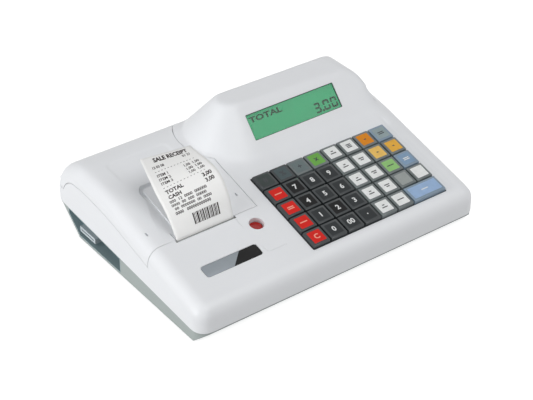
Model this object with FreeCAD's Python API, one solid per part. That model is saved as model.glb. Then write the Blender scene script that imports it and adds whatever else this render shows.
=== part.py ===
"""Ticket register: portable electronic till with printer, keypad and hooded displays.

Units are millimetres. X runs along the width, Y from front to back, Z up.
The origin is the bottom centre of the case, on the surface that the feet stand on.
"""
import FreeCAD, Part

import math
import os

V = FreeCAD.Vector

# Case outline
CASE_WIDTH = 304.0
CASE_DEPTH = 230.0
WALL = 2.5
EDGE_RADIUS = 12.5
FRONT_RADIUS = 13.5
DECK_TILT = 14.0
CREST_Y = 36.5
CROWN_HEIGHT = 73.3
REAR_RADIUS = 40.0
SEAM_FRONT_HEIGHT = 12.1
SEAM_TILT = 3.9

# Base tray
FOOT_STAND = 1.5
TRAY_INSET = 0.8
TRAY_RIM = 2.0
TRAY_FRONT_SETBACK = 11.3
TRAY_REAR_SETBACK = 39.2
TRAY_REAR_SLOPE = 41.5
FOOT_RADIUS = 7.0
FOOT_RECESS = 1.0
FOOT_SIDE_INSET = 24.0
FOOT_FRONT_INSET = 31.0
FOOT_REAR_INSET = 55.0

# Display hood, a ridge with equal front and rear faces, a flat top and a cone end on the left
HOOD_AXIS_Y = 52.3
HOOD_LEFT_X = -3.5
HOOD_HALF_DEPTH = 49.0
HOOD_SLOPE = 48.0
HOOD_TOP_CUT = 13.94
HOOD_TOP_FALL = 1.72
HOOD_EDGE_RADIUS = 6.0
HOOD_FLANK_INSET = 9.8
HOOD_FLANK_LEAN = 21.3
HOOD_CORNER_RADIUS = 22.0

# Displays
WINDOW_WIDTH = 99.0
WINDOW_HEIGHT = 24.4
WINDOW_FROM_DOME = 53.0
WINDOW_CENTRE_UP = 29.6
PANE_RECESS = 1.0
PANE_THICKNESS = 1.2
PANE_GAP = 0.2
MODULE_WIDTH = 103.0
MODULE_HEIGHT = 32.0
MODULE_DEPTH = 7.0
MODULE_BOARD_WIDTH = 105.0
MODULE_BOARD_HEIGHT = 44.0
BOARD_THICKNESS = 1.6

# Keypad
KEY_PITCH = 18.75
KEY_COLUMNS = 8
KEY_ROWS = 5
KEYPAD_LEFT_X = -26.0
KEYPAD_FRONT_INSET = 12.05
KEY_GAP = 1.25
KEY_PROUD = 3.3
KEY_SKIRT = 3.0
KEY_TRAVEL = 2.5
KEY_EDGE_RADIUS = 1.2
STEM_SIDE = 6.0
STEM_LENGTH = 7.9
SWITCH_SIDE = 12.0
SLIDE_GAP = 0.3
FRAME_MARGIN = 0.4
FRAME_FLANGE = 3.0
FRAME_FLANGE_FRONT = 0.7
FRAME_SINK = 0.4
FRAME_FLANGE_THICKNESS = 1.5
KEY_BOARD_MARGIN = 8.0
KEY_BOARD_CLEARANCE = 0.3
KEY_POST_RADIUS = 2.5

# Paper lid, printer and paper
LID_RIGHT_X = -39.8
LID_FRONT_Y = -39.7
LID_SKIRT = 15.5
LID_REAR_DROP = 30.3
LID_SCOOP_SHIFT = 3.7
LID_SCOOP_RADIUS = 49.0
LID_GAP = 0.5
HINGE_REAR_INSET = 5.0
HINGE_RISE = 1.0
HINGE_BARREL_RADIUS = 3.6
HINGE_PIN_RADIUS = 1.5
HINGE_SWING_GAP = 0.7
HINGE_GROOVE = 3.0
HINGE_EAR_WIDTH = 4.0
HINGE_BARREL_WIDTH = 12.0
HINGE_OUTER_INSET = 6.0
HINGE_INNER_INSET = 8.2
RUNNING_GAP = 0.05
PAPER_WIDTH = 57.5
PAPER_CENTRE_INSET = 58.2
PAPER_THICKNESS = 0.3
SLOT_DEPTH = 3.2
SLOT_SIDE_GAP = 1.9
RECESS_REAR_Y = 25.5
RECESS_SINK = 1.6
RECESS_SIDE = 6.0
ROLL_TOP_ROOM = 8.94
ROLL_BOTTOM = 9.0
ROLL_CORE_RADIUS = 6.0
ROLL_Y = 15.0
ROLL_GAP = 0.3
TROUGH_ROOM = 7.0
PLATE_THICKNESS = 2.2
PLATE_FRONT_REACH = 6.3
PLATE_REAR_Y = 50.0
PLATE_BOTTOM = 5.2
PLATE_TOP_DROP = 7.3
BAY_PLATE_DROP = 16.5
BAY_PLATE_THICKNESS = 2.0
BAY_PLATE_FRONT_Y = -24.0
BAY_PLATE_REAR_INSET = 21.0
PLATEN_RADIUS = 6.0
PLATEN_EDGE_INSET = 6.2
PLATEN_DROP = 9.8
PLATEN_AXLE_RADIUS = 2.0
PLATEN_END_GAP = 0.6
PLATEN_EAR_THICKNESS = 2.5
PLATEN_EAR_WALL = 1.5
AXLE_NOTCH = 0.3
DRIVE_GEAR_RADIUS = 6.2
DRIVE_GEAR_WIDTH = 1.2
PINION_RADIUS = 4.0
MOTOR_RADIUS = 7.5
MOTOR_LENGTH = 15.0
HEAD_GAP = 0.4
HEAD_THICKNESS = 4.1
HEAD_BELOW_PLATEN = 6.5
HEAD_ABOVE_PLATEN = 4.5
HEAD_END_GAP = 0.2
TEAR_BAR_THICKNESS = 0.8
TEAR_BAR_HEIGHT = 4.4
RECEIPT_START_REACH = 1.5
RECEIPT_START_DROP = 3.7
RECEIPT_START_ANGLE = 82.0
RECEIPT_END_ANGLE = 26.0
RECEIPT_BEND_RADIUS = 42.0
RECEIPT_FIRST_RUN = 4.0
RECEIPT_LAST_RUN = 34.0

# Red button in its well and badge recess, along the deck
BUTTON_FROM_LID_SIDE = 12.0
BUTTON_V = -58.0
WELL_RADIUS = 6.75
WELL_WALL = 1.5
WELL_DEPTH = 8.5
BUTTON_SINK = 4.2
BUTTON_RADIUS = 6.3
BUTTON_THICKNESS = 2.3
BUTTON_STEM_RADIUS = 2.4
BUTTON_STEM_LENGTH = 6.0
BADGE_CENTRE_INSET = 57.3
BADGE_V = -82.6
BADGE_WIDTH = 56.4
BADGE_HEIGHT = 12.4
BADGE_RECESS = 0.8
BADGE_CORNER = 2.0

# Port bay in the left side, with its board and sockets
BAY_REAR_INSET = 22.7
BAY_LENGTH = 85.0
BAY_DEPTH = 14.0
BAY_ROOF = 1.5
PORT_SOCKETS = (
    ("power", 6.7, 10.0, 9.5),
    ("serial", 23.7, 16.5, 9.0),
    ("data", 44.7, 24.0, 5.5),
)
PORT_BOARD_MARGIN = 3.0
PORT_BOARD_LENGTH = 66.0
PORT_BOARD_WIDTH = 9.0
SOCKET_LENGTH = 16.0
SOCKET_WALL = 1.4
SOCKET_MOUTH_DEPTH = 8.0

# Boards and fasteners
BOARD_HEIGHT = 6.6
BOARD_UNDER_LID = 5.2
BOARD_SIDE_INSET = 24.0
BOARD_FRONT_INSET = 25.0
BOARD_REAR_INSET = 57.0
BOARD_POST_RADIUS = 3.0
BOARD_POST_INSET = 8.0
CHIPS = (
    (52.0, 66.0, 28.0, 28.0, 2.4),
    (95.0, 88.0, 20.0, 14.0, 3.0),
    (124.0, 52.0, 34.0, 10.0, 4.0),
    (26.0, 110.0, 24.0, 24.0, 8.0),
)
CAPACITOR_COUNT = 3
CAPACITOR_PITCH = 16.0
CAPACITOR_RADIUS = 5.0
CAPACITOR_HEIGHT = 12.0
SCREW_RADIUS = 1.45
SCREW_HOLE_RADIUS = 1.5
SCREW_HEAD_RADIUS = 3.0
SCREW_HEAD_THICKNESS = 2.4
SCREW_SHAFT_LENGTH = 14.0
SCREW_SEAT_HEIGHT = 4.5
SCREW_POST_RADIUS = 5.5
SCREW_POST_TOP = 8.0
SCREW_BOSS_RADIUS = 4.0
SCREW_BOSS_GAP = 0.2
SCREW_SIDE_INSET = 12.0
SCREW_FRONT_INSET = 17.0
SCREW_REAR_INSET = 43.0
SCREW_FROM_LID_SIDE = 9.8
SCREW_WALL_INSET = 7.5
SCREW_FROM_BAY = 15.3
SCREW_WALL_BOSS_TOP = 32.0
SCREW_WALL_RIB = 4.0

# Places worked out from the values above
HALF_WIDTH = CASE_WIDTH / 2
HALF_DEPTH = CASE_DEPTH / 2
FAR = CASE_WIDTH + CASE_DEPTH
DECK_SIN = math.sin(math.radians(DECK_TILT))
DECK_COS = math.cos(math.radians(DECK_TILT))
DECK_HEIGHT = CROWN_HEIGHT - CREST_Y * DECK_SIN / DECK_COS
FOOT_X = HALF_WIDTH - FOOT_SIDE_INSET
FOOT_FRONT_Y = -HALF_DEPTH + FOOT_FRONT_INSET
FOOT_REAR_Y = HALF_DEPTH - FOOT_REAR_INSET
HOOD_FOOT_Y = HOOD_AXIS_Y - HOOD_HALF_DEPTH
HOOD_FOOT_HEIGHT = DECK_HEIGHT + HOOD_FOOT_Y * DECK_SIN / DECK_COS
HOOD_APEX_HEIGHT = HOOD_FOOT_HEIGHT + HOOD_HALF_DEPTH * math.tan(math.radians(HOOD_SLOPE))
HOOD_TOP_HEIGHT = HOOD_APEX_HEIGHT - HOOD_TOP_CUT
HOOD_FLANK_X = HALF_WIDTH - HOOD_FLANK_INSET
WINDOW_CENTRE_X = HOOD_LEFT_X + WINDOW_FROM_DOME
KEYPAD_FRONT_V = (-HALF_DEPTH + KEYPAD_FRONT_INSET) / DECK_COS
KEYPAD_WIDTH = KEY_COLUMNS * KEY_PITCH
KEYPAD_LENGTH = KEY_ROWS * KEY_PITCH
LID_FRONT_HEIGHT = DECK_HEIGHT + LID_FRONT_Y * DECK_SIN / DECK_COS
LID_REAR_HEIGHT = CROWN_HEIGHT - LID_REAR_DROP
LID_SCOOP_Y = HOOD_AXIS_Y + LID_SCOOP_SHIFT
HINGE = (HALF_DEPTH - HINGE_REAR_INSET, LID_REAR_HEIGHT + HINGE_RISE)
HINGE_OUTER_X = -HALF_WIDTH + HINGE_OUTER_INSET
HINGE_INNER_X = LID_RIGHT_X - HINGE_INNER_INSET
PAPER_CENTRE_X = -HALF_WIDTH + PAPER_CENTRE_INSET
PAPER_LEFT_X = PAPER_CENTRE_X - PAPER_WIDTH / 2
PAPER_RIGHT_X = PAPER_CENTRE_X + PAPER_WIDTH / 2
ROLL_RADIUS = (DECK_HEIGHT + ROLL_Y * DECK_SIN / DECK_COS - ROLL_TOP_ROOM - ROLL_BOTTOM) / 2
ROLL_HEIGHT = ROLL_BOTTOM + ROLL_RADIUS
TROUGH_RADIUS = ROLL_RADIUS + TROUGH_ROOM
PLATE_FRONT_Y = LID_FRONT_Y - PLATE_FRONT_REACH
PLATE_TOP = LID_FRONT_HEIGHT - PLATE_TOP_DROP
BAY_PLATE_REAR_Y = HALF_DEPTH - BAY_PLATE_REAR_INSET
PLATEN = (LID_FRONT_Y + PLATEN_EDGE_INSET, LID_FRONT_HEIGHT - PLATEN_DROP)
PLATEN_LEFT_X = PAPER_LEFT_X - PLATEN_END_GAP / 2
PLATEN_RIGHT_X = PAPER_RIGHT_X + PLATEN_END_GAP / 2
PLATE_LEFT_X = PLATEN_LEFT_X - PLATEN_END_GAP / 2
PLATE_RIGHT_X = PLATEN_RIGHT_X + PLATEN_END_GAP / 2
EAR_LEFT_X = PLATE_LEFT_X - PLATE_THICKNESS - DRIVE_GEAR_WIDTH - 2 * HEAD_GAP
EAR_RIGHT_X = PLATE_RIGHT_X + PLATE_THICKNESS + DRIVE_GEAR_WIDTH + 2 * HEAD_GAP
HEAD_BOTTOM = PLATEN[1] - HEAD_BELOW_PLATEN
HEAD_TOP = PLATEN[1] + HEAD_ABOVE_PLATEN
RECEIPT_START = (LID_FRONT_Y - RECEIPT_START_REACH, LID_FRONT_HEIGHT - RECEIPT_START_DROP)
BUTTON = (LID_RIGHT_X - BUTTON_FROM_LID_SIDE, BUTTON_V)
BADGE_X = -HALF_WIDTH + BADGE_CENTRE_INSET
BAY_INNER_X = -HALF_WIDTH + BAY_DEPTH
BAY_REAR_Y = HALF_DEPTH - BAY_REAR_INSET
BAY_FRONT_Y = BAY_REAR_Y - BAY_LENGTH
BOARD_LEFT_X = LID_RIGHT_X - BOARD_UNDER_LID
BOARD_RIGHT_X = HALF_WIDTH - BOARD_SIDE_INSET
BOARD_FRONT_Y = -HALF_DEPTH + BOARD_FRONT_INSET
BOARD_REAR_Y = HALF_DEPTH - BOARD_REAR_INSET
STEM_BOTTOM = -KEY_SKIRT - STEM_LENGTH
KEY_BOARD_TOP = STEM_BOTTOM - KEY_TRAVEL - KEY_BOARD_CLEARANCE
SWITCH_TOP = -KEY_SKIRT - KEY_TRAVEL - KEY_BOARD_CLEARANCE
KEY_POST_PLACES = [
    (x, v)
    for x in (KEYPAD_LEFT_X - KEY_BOARD_MARGIN, KEYPAD_LEFT_X + KEYPAD_WIDTH + KEY_BOARD_MARGIN)
    for v in (KEYPAD_FRONT_V + KEY_PITCH, KEYPAD_FRONT_V + KEYPAD_LENGTH - KEY_PITCH / 2)
]
SCREW_WALL = (-HALF_WIDTH + SCREW_WALL_INSET, BAY_FRONT_Y - SCREW_FROM_BAY)
SCREW_PLACES = (
    (-HALF_WIDTH + SCREW_SIDE_INSET, -HALF_DEPTH + SCREW_FRONT_INSET),
    (HALF_WIDTH - SCREW_SIDE_INSET, -HALF_DEPTH + SCREW_FRONT_INSET),
    (HALF_WIDTH - SCREW_SIDE_INSET, HALF_DEPTH - SCREW_REAR_INSET),
    (LID_RIGHT_X + SCREW_FROM_LID_SIDE, HALF_DEPTH - SCREW_REAR_INSET),
    SCREW_WALL,
)


def box(low, high):
    """A box between two opposite corners, each given as (x, y, z)."""
    size = [h - l for l, h in zip(low, high)]
    return Part.makeBox(*size, V(*low))


def bar(radius, centre, left, right):
    """A round bar along X, about a (y, z) centre."""
    return Part.makeCylinder(radius, right - left, V(left, *centre), V(1, 0, 0))


def post(radius, place, low, high):
    """A round upright bar at an (x, y) place."""
    return Part.makeCylinder(radius, high - low, V(*place, low), V(0, 0, 1))


def join(shapes):
    """Shapes fused into one solid."""
    shapes = list(shapes)
    result = shapes[0]
    if len(shapes) > 1:
        result = shapes[0].multiFuse(shapes[1:])
    return result.removeSplitter()


def group(shapes):
    """Separate solids kept side by side in one node."""
    return Part.makeCompound(list(shapes))


def yz_wire(edges):
    """A closed wire in the YZ plane. Each edge is 2 points (line) or 3 points (arc)."""
    made = []
    for points in edges:
        spots = [V(0, y, z) for y, z in points]
        if len(spots) == 2:
            made.append(Part.LineSegment(*spots).toShape())
        else:
            made.append(Part.Arc(*spots).toShape())
    return Part.Wire(made)


def yz_polygon(points):
    """The edges of a straight-sided YZ outline."""
    return [(points[i], points[(i + 1) % len(points)]) for i in range(len(points))]


def across(edges, left, right):
    """A YZ outline drawn along X between two planes."""
    face = Part.Face(yz_wire(edges))
    return face.extrude(V(right - left, 0, 0)).translated(V(left, 0, 0))


def on_arc(centre, radius, degrees):
    """A (y, z) point on a circle."""
    angle = math.radians(degrees)
    return (centre[0] + radius * math.cos(angle), centre[1] + radius * math.sin(angle))


def on_deck(shape):
    """A shape modelled on a level deck at height 0, moved onto the tilted deck."""
    placed = shape.copy()
    placed.Placement = FreeCAD.Placement(V(0, 0, DECK_HEIGHT), FreeCAD.Rotation(V(1, 0, 0), DECK_TILT))
    return placed


def on_hood(shape, rear=False):
    """A shape modelled on a level face, moved onto the hood's front face or its rear one.

    Y runs up the face from the foot of the hood, and Z points out of the face.
    """
    placed = shape.copy()
    foot = V(0, HOOD_FOOT_Y, HOOD_FOOT_HEIGHT)
    placed.Placement = FreeCAD.Placement(foot, FreeCAD.Rotation(V(1, 0, 0), HOOD_SLOPE))
    if rear:
        placed = placed.mirror(V(0, HOOD_AXIS_Y, 0), V(0, 1, 0))
    return placed


def seam_height(y):
    """Height of the seam between the tray and the upper case."""
    return SEAM_FRONT_HEIGHT + (y + HALF_DEPTH) * math.tan(math.radians(SEAM_TILT))


def beside_seam(above):
    """The space above or below the seam plane."""
    edge = FAR if above else -FAR
    points = [(-FAR, seam_height(-FAR)), (FAR, seam_height(FAR)), (FAR, edge), (-FAR, edge)]
    return across(yz_polygon(points), -FAR, FAR)


def plan_prism(inset):
    """The rounded plan outline of the case, drawn in by an inset, as a tall prism."""
    half = (HALF_WIDTH - inset, HALF_DEPTH - inset)
    prism = box((-half[0], -half[1], -FAR), (half[0], half[1], FAR))
    corners = [e for e in prism.Edges if abs(e.tangentAt(e.FirstParameter).z) > 0.99]
    return prism.makeFillet(EDGE_RADIUS - inset, corners)


def deck_curve(inset):
    """The crown and rear arcs of the case, drawn in by an inset, as two lists of three points."""
    rear = (HALF_DEPTH - REAR_RADIUS, CROWN_HEIGHT - REAR_RADIUS)
    crown_radius = (rear[0] - CREST_Y) / math.tan(math.radians(DECK_TILT / 2))
    crown = (rear[0], CROWN_HEIGHT - crown_radius)
    crown_arc = [on_arc(crown, crown_radius - inset, 90 + a) for a in (DECK_TILT, DECK_TILT / 2, 0)]
    rear_arc = [on_arc(rear, REAR_RADIUS - inset, a) for a in (90, 45, 0)]
    return crown_arc, rear_arc


def case_outline(inset):
    """The YZ outline of the case without its hood, drawn in by an inset."""
    front_y = -HALF_DEPTH + FRONT_RADIUS
    front_height = DECK_HEIGHT + front_y * DECK_SIN / DECK_COS - FRONT_RADIUS / DECK_COS
    front_arc = [on_arc((front_y, front_height), FRONT_RADIUS - inset, a) for a in (180, 135, 90 + DECK_TILT)]
    crown_arc, rear_arc = deck_curve(inset)
    front_foot = (-HALF_DEPTH + inset, -CASE_DEPTH)
    rear_foot = (HALF_DEPTH - inset, -CASE_DEPTH)
    return [
        (front_foot, front_arc[0]),
        front_arc,
        (front_arc[2], crown_arc[0]),
        crown_arc,
        rear_arc,
        (rear_arc[2], rear_foot),
        (rear_foot, front_foot),
    ]


def core_outline(drop):
    """The YZ outline of the space below the deck by a drop, open to the front."""
    crown_arc, rear_arc = deck_curve(drop)
    front_deck = (crown_arc[0][0] - FAR * DECK_COS, crown_arc[0][1] - FAR * DECK_SIN)
    front_foot = (front_deck[0], -FAR)
    rear_foot = (HALF_DEPTH - drop, -FAR)
    return [
        (front_foot, front_deck),
        (front_deck, crown_arc[0]),
        crown_arc,
        rear_arc,
        (rear_arc[2], rear_foot),
        (rear_foot, front_foot),
    ]


def case_block(inset):
    """The solid case without its hood, with every side edge rounded."""
    half = HALF_WIDTH - inset
    block = across(case_outline(inset), -half, half)
    rounded = []
    for edge in block.Edges:
        at_side = all(abs(abs(v.X) - half) < 0.01 for v in edge.Vertexes)
        at_floor = all(v.Z < -HALF_DEPTH for v in edge.Vertexes)
        if at_side and not at_floor:
            rounded.append(edge)
    return block.makeFillet(EDGE_RADIUS - inset, rounded)


def hood_block(inset):
    """The solid hood: a ridge with a cone end on the left, a sloping flat top and soft top edges."""
    slope = math.radians(HOOD_SLOPE)
    floor = CROWN_HEIGHT - REAR_RADIUS - WALL
    apex = (HOOD_AXIS_Y, HOOD_APEX_HEIGHT - inset / math.cos(slope))
    spread = (apex[1] - floor) / math.tan(slope)
    feet = ((apex[0] - spread, floor), (apex[0] + spread, floor))
    ridge = across(yz_polygon([feet[0], apex, feet[1]]), HOOD_LEFT_X, FAR)
    half_face = Part.Face(yz_wire(yz_polygon([apex, feet[1], (apex[0], floor)])))
    cone = half_face.revolve(V(0, HOOD_AXIS_Y, 0), V(0, 0, 1), 360).translated(V(HOOD_LEFT_X, 0, 0))
    over, from_origin = hood_top(inset)
    hood = join([ridge, cone]).common(hood_limits(inset)).removeSplitter()
    rims = []
    for edge in hood.Edges:
        spots = [edge.valueAt(edge.FirstParameter), edge.valueAt(edge.LastParameter)]
        spots.append(edge.valueAt((edge.FirstParameter + edge.LastParameter) / 2))
        on_top = all(abs(p.x * over[0] + p.z * over[1] - from_origin) < 0.05 for p in spots)
        along_y = all(abs(p.x - spots[0].x) < 0.05 for p in spots)
        if on_top and not along_y:
            rims.append(edge)
    return hood.makeFillet(HOOD_EDGE_RADIUS - inset, rims).common(plan_prism(inset))


def hood_top(inset):
    """The hood's top plane: its normal as (x, z), and its distance from the origin."""
    fall = math.radians(HOOD_TOP_FALL)
    return (math.sin(fall), math.cos(fall)), HOOD_TOP_HEIGHT * math.cos(fall) - inset


def hood_limits(inset):
    """The space under the hood's top and left of its leaning flank, with the round corner between."""
    lean = math.radians(HOOD_FLANK_LEAN)
    fall = math.radians(HOOD_TOP_FALL)
    radius = HOOD_CORNER_RADIUS - inset
    over, from_origin = hood_top(inset)
    side = (math.cos(lean), math.sin(lean))
    top_line = from_origin - radius
    flank_line = HOOD_FLANK_X * side[0] + HOOD_FOOT_HEIGHT * side[1] - inset - radius
    scale = over[0] * side[1] - over[1] * side[0]
    centre_x = (top_line * side[1] - over[1] * flank_line) / scale
    centre_z = (over[0] * flank_line - top_line * side[0]) / scale
    middle_angle = (math.pi / 2 - fall + lean) / 2
    start = V(centre_x + radius * over[0], 0, centre_z + radius * over[1])
    middle = V(centre_x + radius * math.cos(middle_angle), 0, centre_z + radius * math.sin(middle_angle))
    end = V(centre_x + radius * side[0], 0, centre_z + radius * side[1])
    top_left = V(-FAR, 0, start.z + (start.x + FAR) * math.tan(fall))
    low = V(end.x + (end.z + CASE_DEPTH) * math.tan(lean), 0, -CASE_DEPTH)
    low_left = V(-FAR, 0, -CASE_DEPTH)
    lines = [Part.Arc(start, middle, end).toShape()]
    for first, last in ((top_left, start), (end, low), (low, low_left), (low_left, top_left)):
        lines.append(Part.LineSegment(first, last).toShape())
    face = Part.Face(Part.Wire(Part.sortEdges(lines)[0]))
    return face.extrude(V(0, 2 * FAR, 0)).translated(V(0, -FAR, 0))


def lid_space(gap):
    """The space of the paper lid, grown by a gap on every side."""
    right = LID_RIGHT_X + gap
    space = box((-FAR, LID_FRONT_Y - gap, 0), (right, FAR, FAR))
    core = across(core_outline(LID_SKIRT + gap), -FAR, right)
    rear = box((-FAR, HALF_DEPTH - REAR_RADIUS, 0), (right, FAR, LID_REAR_HEIGHT - gap))
    scoop = post(LID_SCOOP_RADIUS - gap, (HOOD_LEFT_X, LID_SCOOP_Y), 0, FAR)
    return space.cut(core).cut(rear).cut(scoop)


def window_cut():
    """The display window opening, on a level face."""
    half = (WINDOW_WIDTH / 2, WINDOW_HEIGHT / 2)
    return box(
        (WINDOW_CENTRE_X - half[0], WINDOW_CENTRE_UP - half[1], -2 * WALL),
        (WINDOW_CENTRE_X + half[0], WINDOW_CENTRE_UP + half[1], WALL),
    )


def keypad_plate(margin, front_margin, bottom, top):
    """A plate over the keypad's field on a level deck."""
    return box(
        (KEYPAD_LEFT_X - margin, KEYPAD_FRONT_V - front_margin, bottom),
        (KEYPAD_LEFT_X + KEYPAD_WIDTH + margin, KEYPAD_FRONT_V + KEYPAD_LENGTH + margin, top),
    )


def upper_case():
    """The white upper case with its hood, openings, wells and bosses."""
    outer = join([case_block(0), hood_block(0)])
    inner = join([case_block(WALL), hood_block(WALL)])
    shell = outer.cut(inner).common(beside_seam(above=True))
    shell = shell.cut(lid_space(LID_GAP))
    swing = HINGE_BARREL_RADIUS + HINGE_SWING_GAP
    shell = shell.cut(bar(swing, HINGE, -FAR, LID_RIGHT_X + LID_GAP))
    groove = box(
        (-FAR, HINGE[0] - swing, LID_REAR_HEIGHT - HINGE_GROOVE),
        (LID_RIGHT_X + LID_GAP, FAR, LID_REAR_HEIGHT),
    )
    shell = shell.cut(groove)
    slot = box(
        (PAPER_LEFT_X - SLOT_SIDE_GAP, LID_FRONT_Y - SLOT_DEPTH, HEAD_BOTTOM),
        (PAPER_RIGHT_X + SLOT_SIDE_GAP, LID_FRONT_Y, CROWN_HEIGHT),
    )
    shell = shell.cut(slot)
    shell = shell.cut(on_deck(keypad_plate(FRAME_MARGIN + SLIDE_GAP, FRAME_MARGIN + SLIDE_GAP, -FAR, FAR)))
    shell = shell.cut(on_hood(window_cut())).cut(on_hood(window_cut(), rear=True))
    shell = join([shell, on_deck(button_well())])
    shell = shell.cut(on_deck(post(WELL_RADIUS, BUTTON, -WELL_DEPTH, FAR)))
    shell = shell.cut(on_deck(badge_recess()))
    key_posts = [on_deck(post(KEY_POST_RADIUS, place, KEY_BOARD_TOP, -WALL / 2)) for place in KEY_POST_PLACES]
    shell = join([shell] + key_posts + case_bosses(outer) + hinge_ears())
    screw_end = SCREW_SEAT_HEIGHT + SCREW_SHAFT_LENGTH + WALL
    for place in SCREW_PLACES:
        shell = shell.cut(post(SCREW_HOLE_RADIUS, place, 0, screw_end))
    return shell


def button_well():
    """The well of the red button on a level deck, with a floor that guides its stem."""
    outer = post(WELL_RADIUS + WELL_WALL, BUTTON, -WELL_DEPTH - WELL_WALL, -WALL / 2)
    return outer.cut(post(BUTTON_STEM_RADIUS + SLIDE_GAP, BUTTON, -FAR, 0))


def badge_recess():
    """The shallow recess for the badge on a level deck."""
    half = (BADGE_WIDTH / 2 + SLIDE_GAP, BADGE_HEIGHT / 2 + SLIDE_GAP)
    recess = box(
        (BADGE_X - half[0], BADGE_V - half[1], -BADGE_RECESS),
        (BADGE_X + half[0], BADGE_V + half[1], WALL),
    )
    corners = [e for e in recess.Edges if abs(e.tangentAt(e.FirstParameter).z) > 0.99]
    return recess.makeFillet(BADGE_CORNER, corners)


def case_bosses(outer):
    """The screw bosses that hang from the upper case."""
    low = SCREW_POST_TOP + SCREW_BOSS_GAP
    bosses = []
    for place in SCREW_PLACES:
        top = SCREW_WALL_BOSS_TOP if place == SCREW_WALL else FAR
        bosses.append(post(SCREW_BOSS_RADIUS, place, low, top).common(outer))
    rib = SCREW_WALL_RIB / 2
    bosses.append(box(
        (-HALF_WIDTH + WALL / 2, SCREW_WALL[1] - rib, seam_height(SCREW_WALL[1]) + WALL),
        (SCREW_WALL[0], SCREW_WALL[1] + rib, SCREW_WALL_BOSS_TOP),
    ))
    return bosses


def hinge_ear_spans():
    """The X ranges of the two hinge ears on the upper case."""
    return (
        (HINGE_OUTER_X, HINGE_OUTER_X + HINGE_EAR_WIDTH),
        (HINGE_INNER_X - HINGE_EAR_WIDTH, HINGE_INNER_X),
    )


def hinge_barrel_spans():
    """The X ranges of the two hinge barrels on the lid."""
    outer = HINGE_OUTER_X + HINGE_EAR_WIDTH + LID_GAP
    inner = HINGE_INNER_X - HINGE_EAR_WIDTH - LID_GAP
    return ((outer, outer + HINGE_BARREL_WIDTH), (inner - HINGE_BARREL_WIDTH, inner))


def hinge_ears():
    """The ears that rise from the rear wall and hold the hinge pins."""
    radius = HINGE_BARREL_RADIUS
    foot = CROWN_HEIGHT - REAR_RADIUS
    wall_y = HALF_DEPTH - WALL / 2
    outline = [
        (on_arc(HINGE, radius, 180), on_arc(HINGE, radius, 90), on_arc(HINGE, radius, 0)),
        (on_arc(HINGE, radius, 0), (wall_y, foot)),
        ((wall_y, foot), (HINGE[0] - radius, foot)),
        ((HINGE[0] - radius, foot), on_arc(HINGE, radius, 180)),
    ]
    ears = []
    for left, right in hinge_ear_spans():
        ear = across(outline, left, right)
        ears.append(ear.cut(bar(HINGE_PIN_RADIUS, HINGE, left - 1, right + 1)))
    return ears


def hinge_pins():
    """The two steel pins that the lid turns on."""
    pins = []
    for ear, barrel in zip(hinge_ear_spans(), hinge_barrel_spans()):
        left = min(ear[0], barrel[0])
        right = max(ear[1], barrel[1])
        pins.append(bar(HINGE_PIN_RADIUS, HINGE, left, right))
    return group(pins)


def paper_lid():
    """The lid over the paper roll, with its exit recess, hinge barrels and platen ears."""
    block = case_block(0)
    skin = block.cut(case_block(WALL))
    thick = block.cut(case_block(WALL + RECESS_SINK))
    recess = recess_space(0, -RECESS_SINK)
    backing = thick.common(recess_space(WALL, -FAR))
    ears = platen_ears(block)
    lid = join([skin, backing]).common(lid_space(0))
    lid = join([lid] + ears)
    lid = lid.cut(recess)
    swing = HINGE_BARREL_RADIUS + HINGE_SWING_GAP
    for left, right in hinge_ear_spans():
        lid = lid.cut(bar(swing, HINGE, left - LID_GAP, right + LID_GAP))
        lid = lid.cut(box((left - LID_GAP, HINGE[0], 0), (right + LID_GAP, FAR, HINGE[1])))
    lid = join([lid] + [bar(HINGE_BARREL_RADIUS, HINGE, *span) for span in hinge_barrel_spans()])
    for left, right in hinge_barrel_spans():
        lid = lid.cut(bar(HINGE_PIN_RADIUS + RUNNING_GAP, HINGE, left - 1, right + 1))
    return lid.cut(bar(PLATEN_AXLE_RADIUS + RUNNING_GAP, PLATEN, -HALF_WIDTH + WALL, LID_RIGHT_X))


def recess_space(margin, depth):
    """The space of the paper exit recess in the lid, down to a depth under the deck plane."""
    left = PAPER_LEFT_X - RECESS_SIDE - margin
    right = PAPER_RIGHT_X + SLOT_SIDE_GAP + margin
    rear = (RECESS_REAR_Y + margin) / DECK_COS
    return on_deck(box((left, -FAR, depth), (right, rear, FAR)))


def platen_ears(block):
    """The two ears under the lid that carry the platen's axle."""
    half = PLATEN_AXLE_RADIUS + PLATEN_EAR_WALL
    ears = []
    for left in (EAR_LEFT_X - PLATEN_EAR_THICKNESS, EAR_RIGHT_X):
        low = (left, PLATEN[0] - half, PLATEN[1] - half)
        high = (left + PLATEN_EAR_THICKNESS, PLATEN[0] + half, CROWN_HEIGHT)
        ears.append(box(low, high).common(block))
    return ears


def tray_outline():
    """The YZ outline of the base tray, closed well above the seam."""
    front = -HALF_DEPTH + TRAY_INSET
    rear = HALF_DEPTH - TRAY_INSET
    slope_start = HALF_DEPTH - TRAY_REAR_SETBACK
    tan_slope = math.tan(math.radians(TRAY_REAR_SLOPE))
    tan_seam = math.tan(math.radians(SEAM_TILT))
    rise = seam_height(slope_start) - TRAY_RIM - FOOT_STAND
    run = rise / (tan_slope - tan_seam)
    return yz_polygon([
        (front, CROWN_HEIGHT),
        (front, seam_height(front) - TRAY_RIM),
        (-HALF_DEPTH + TRAY_FRONT_SETBACK, FOOT_STAND),
        (slope_start, FOOT_STAND),
        (slope_start + run, FOOT_STAND + run * tan_slope),
        (rear, seam_height(rear) - TRAY_RIM),
        (rear, CROWN_HEIGHT),
    ])


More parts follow.
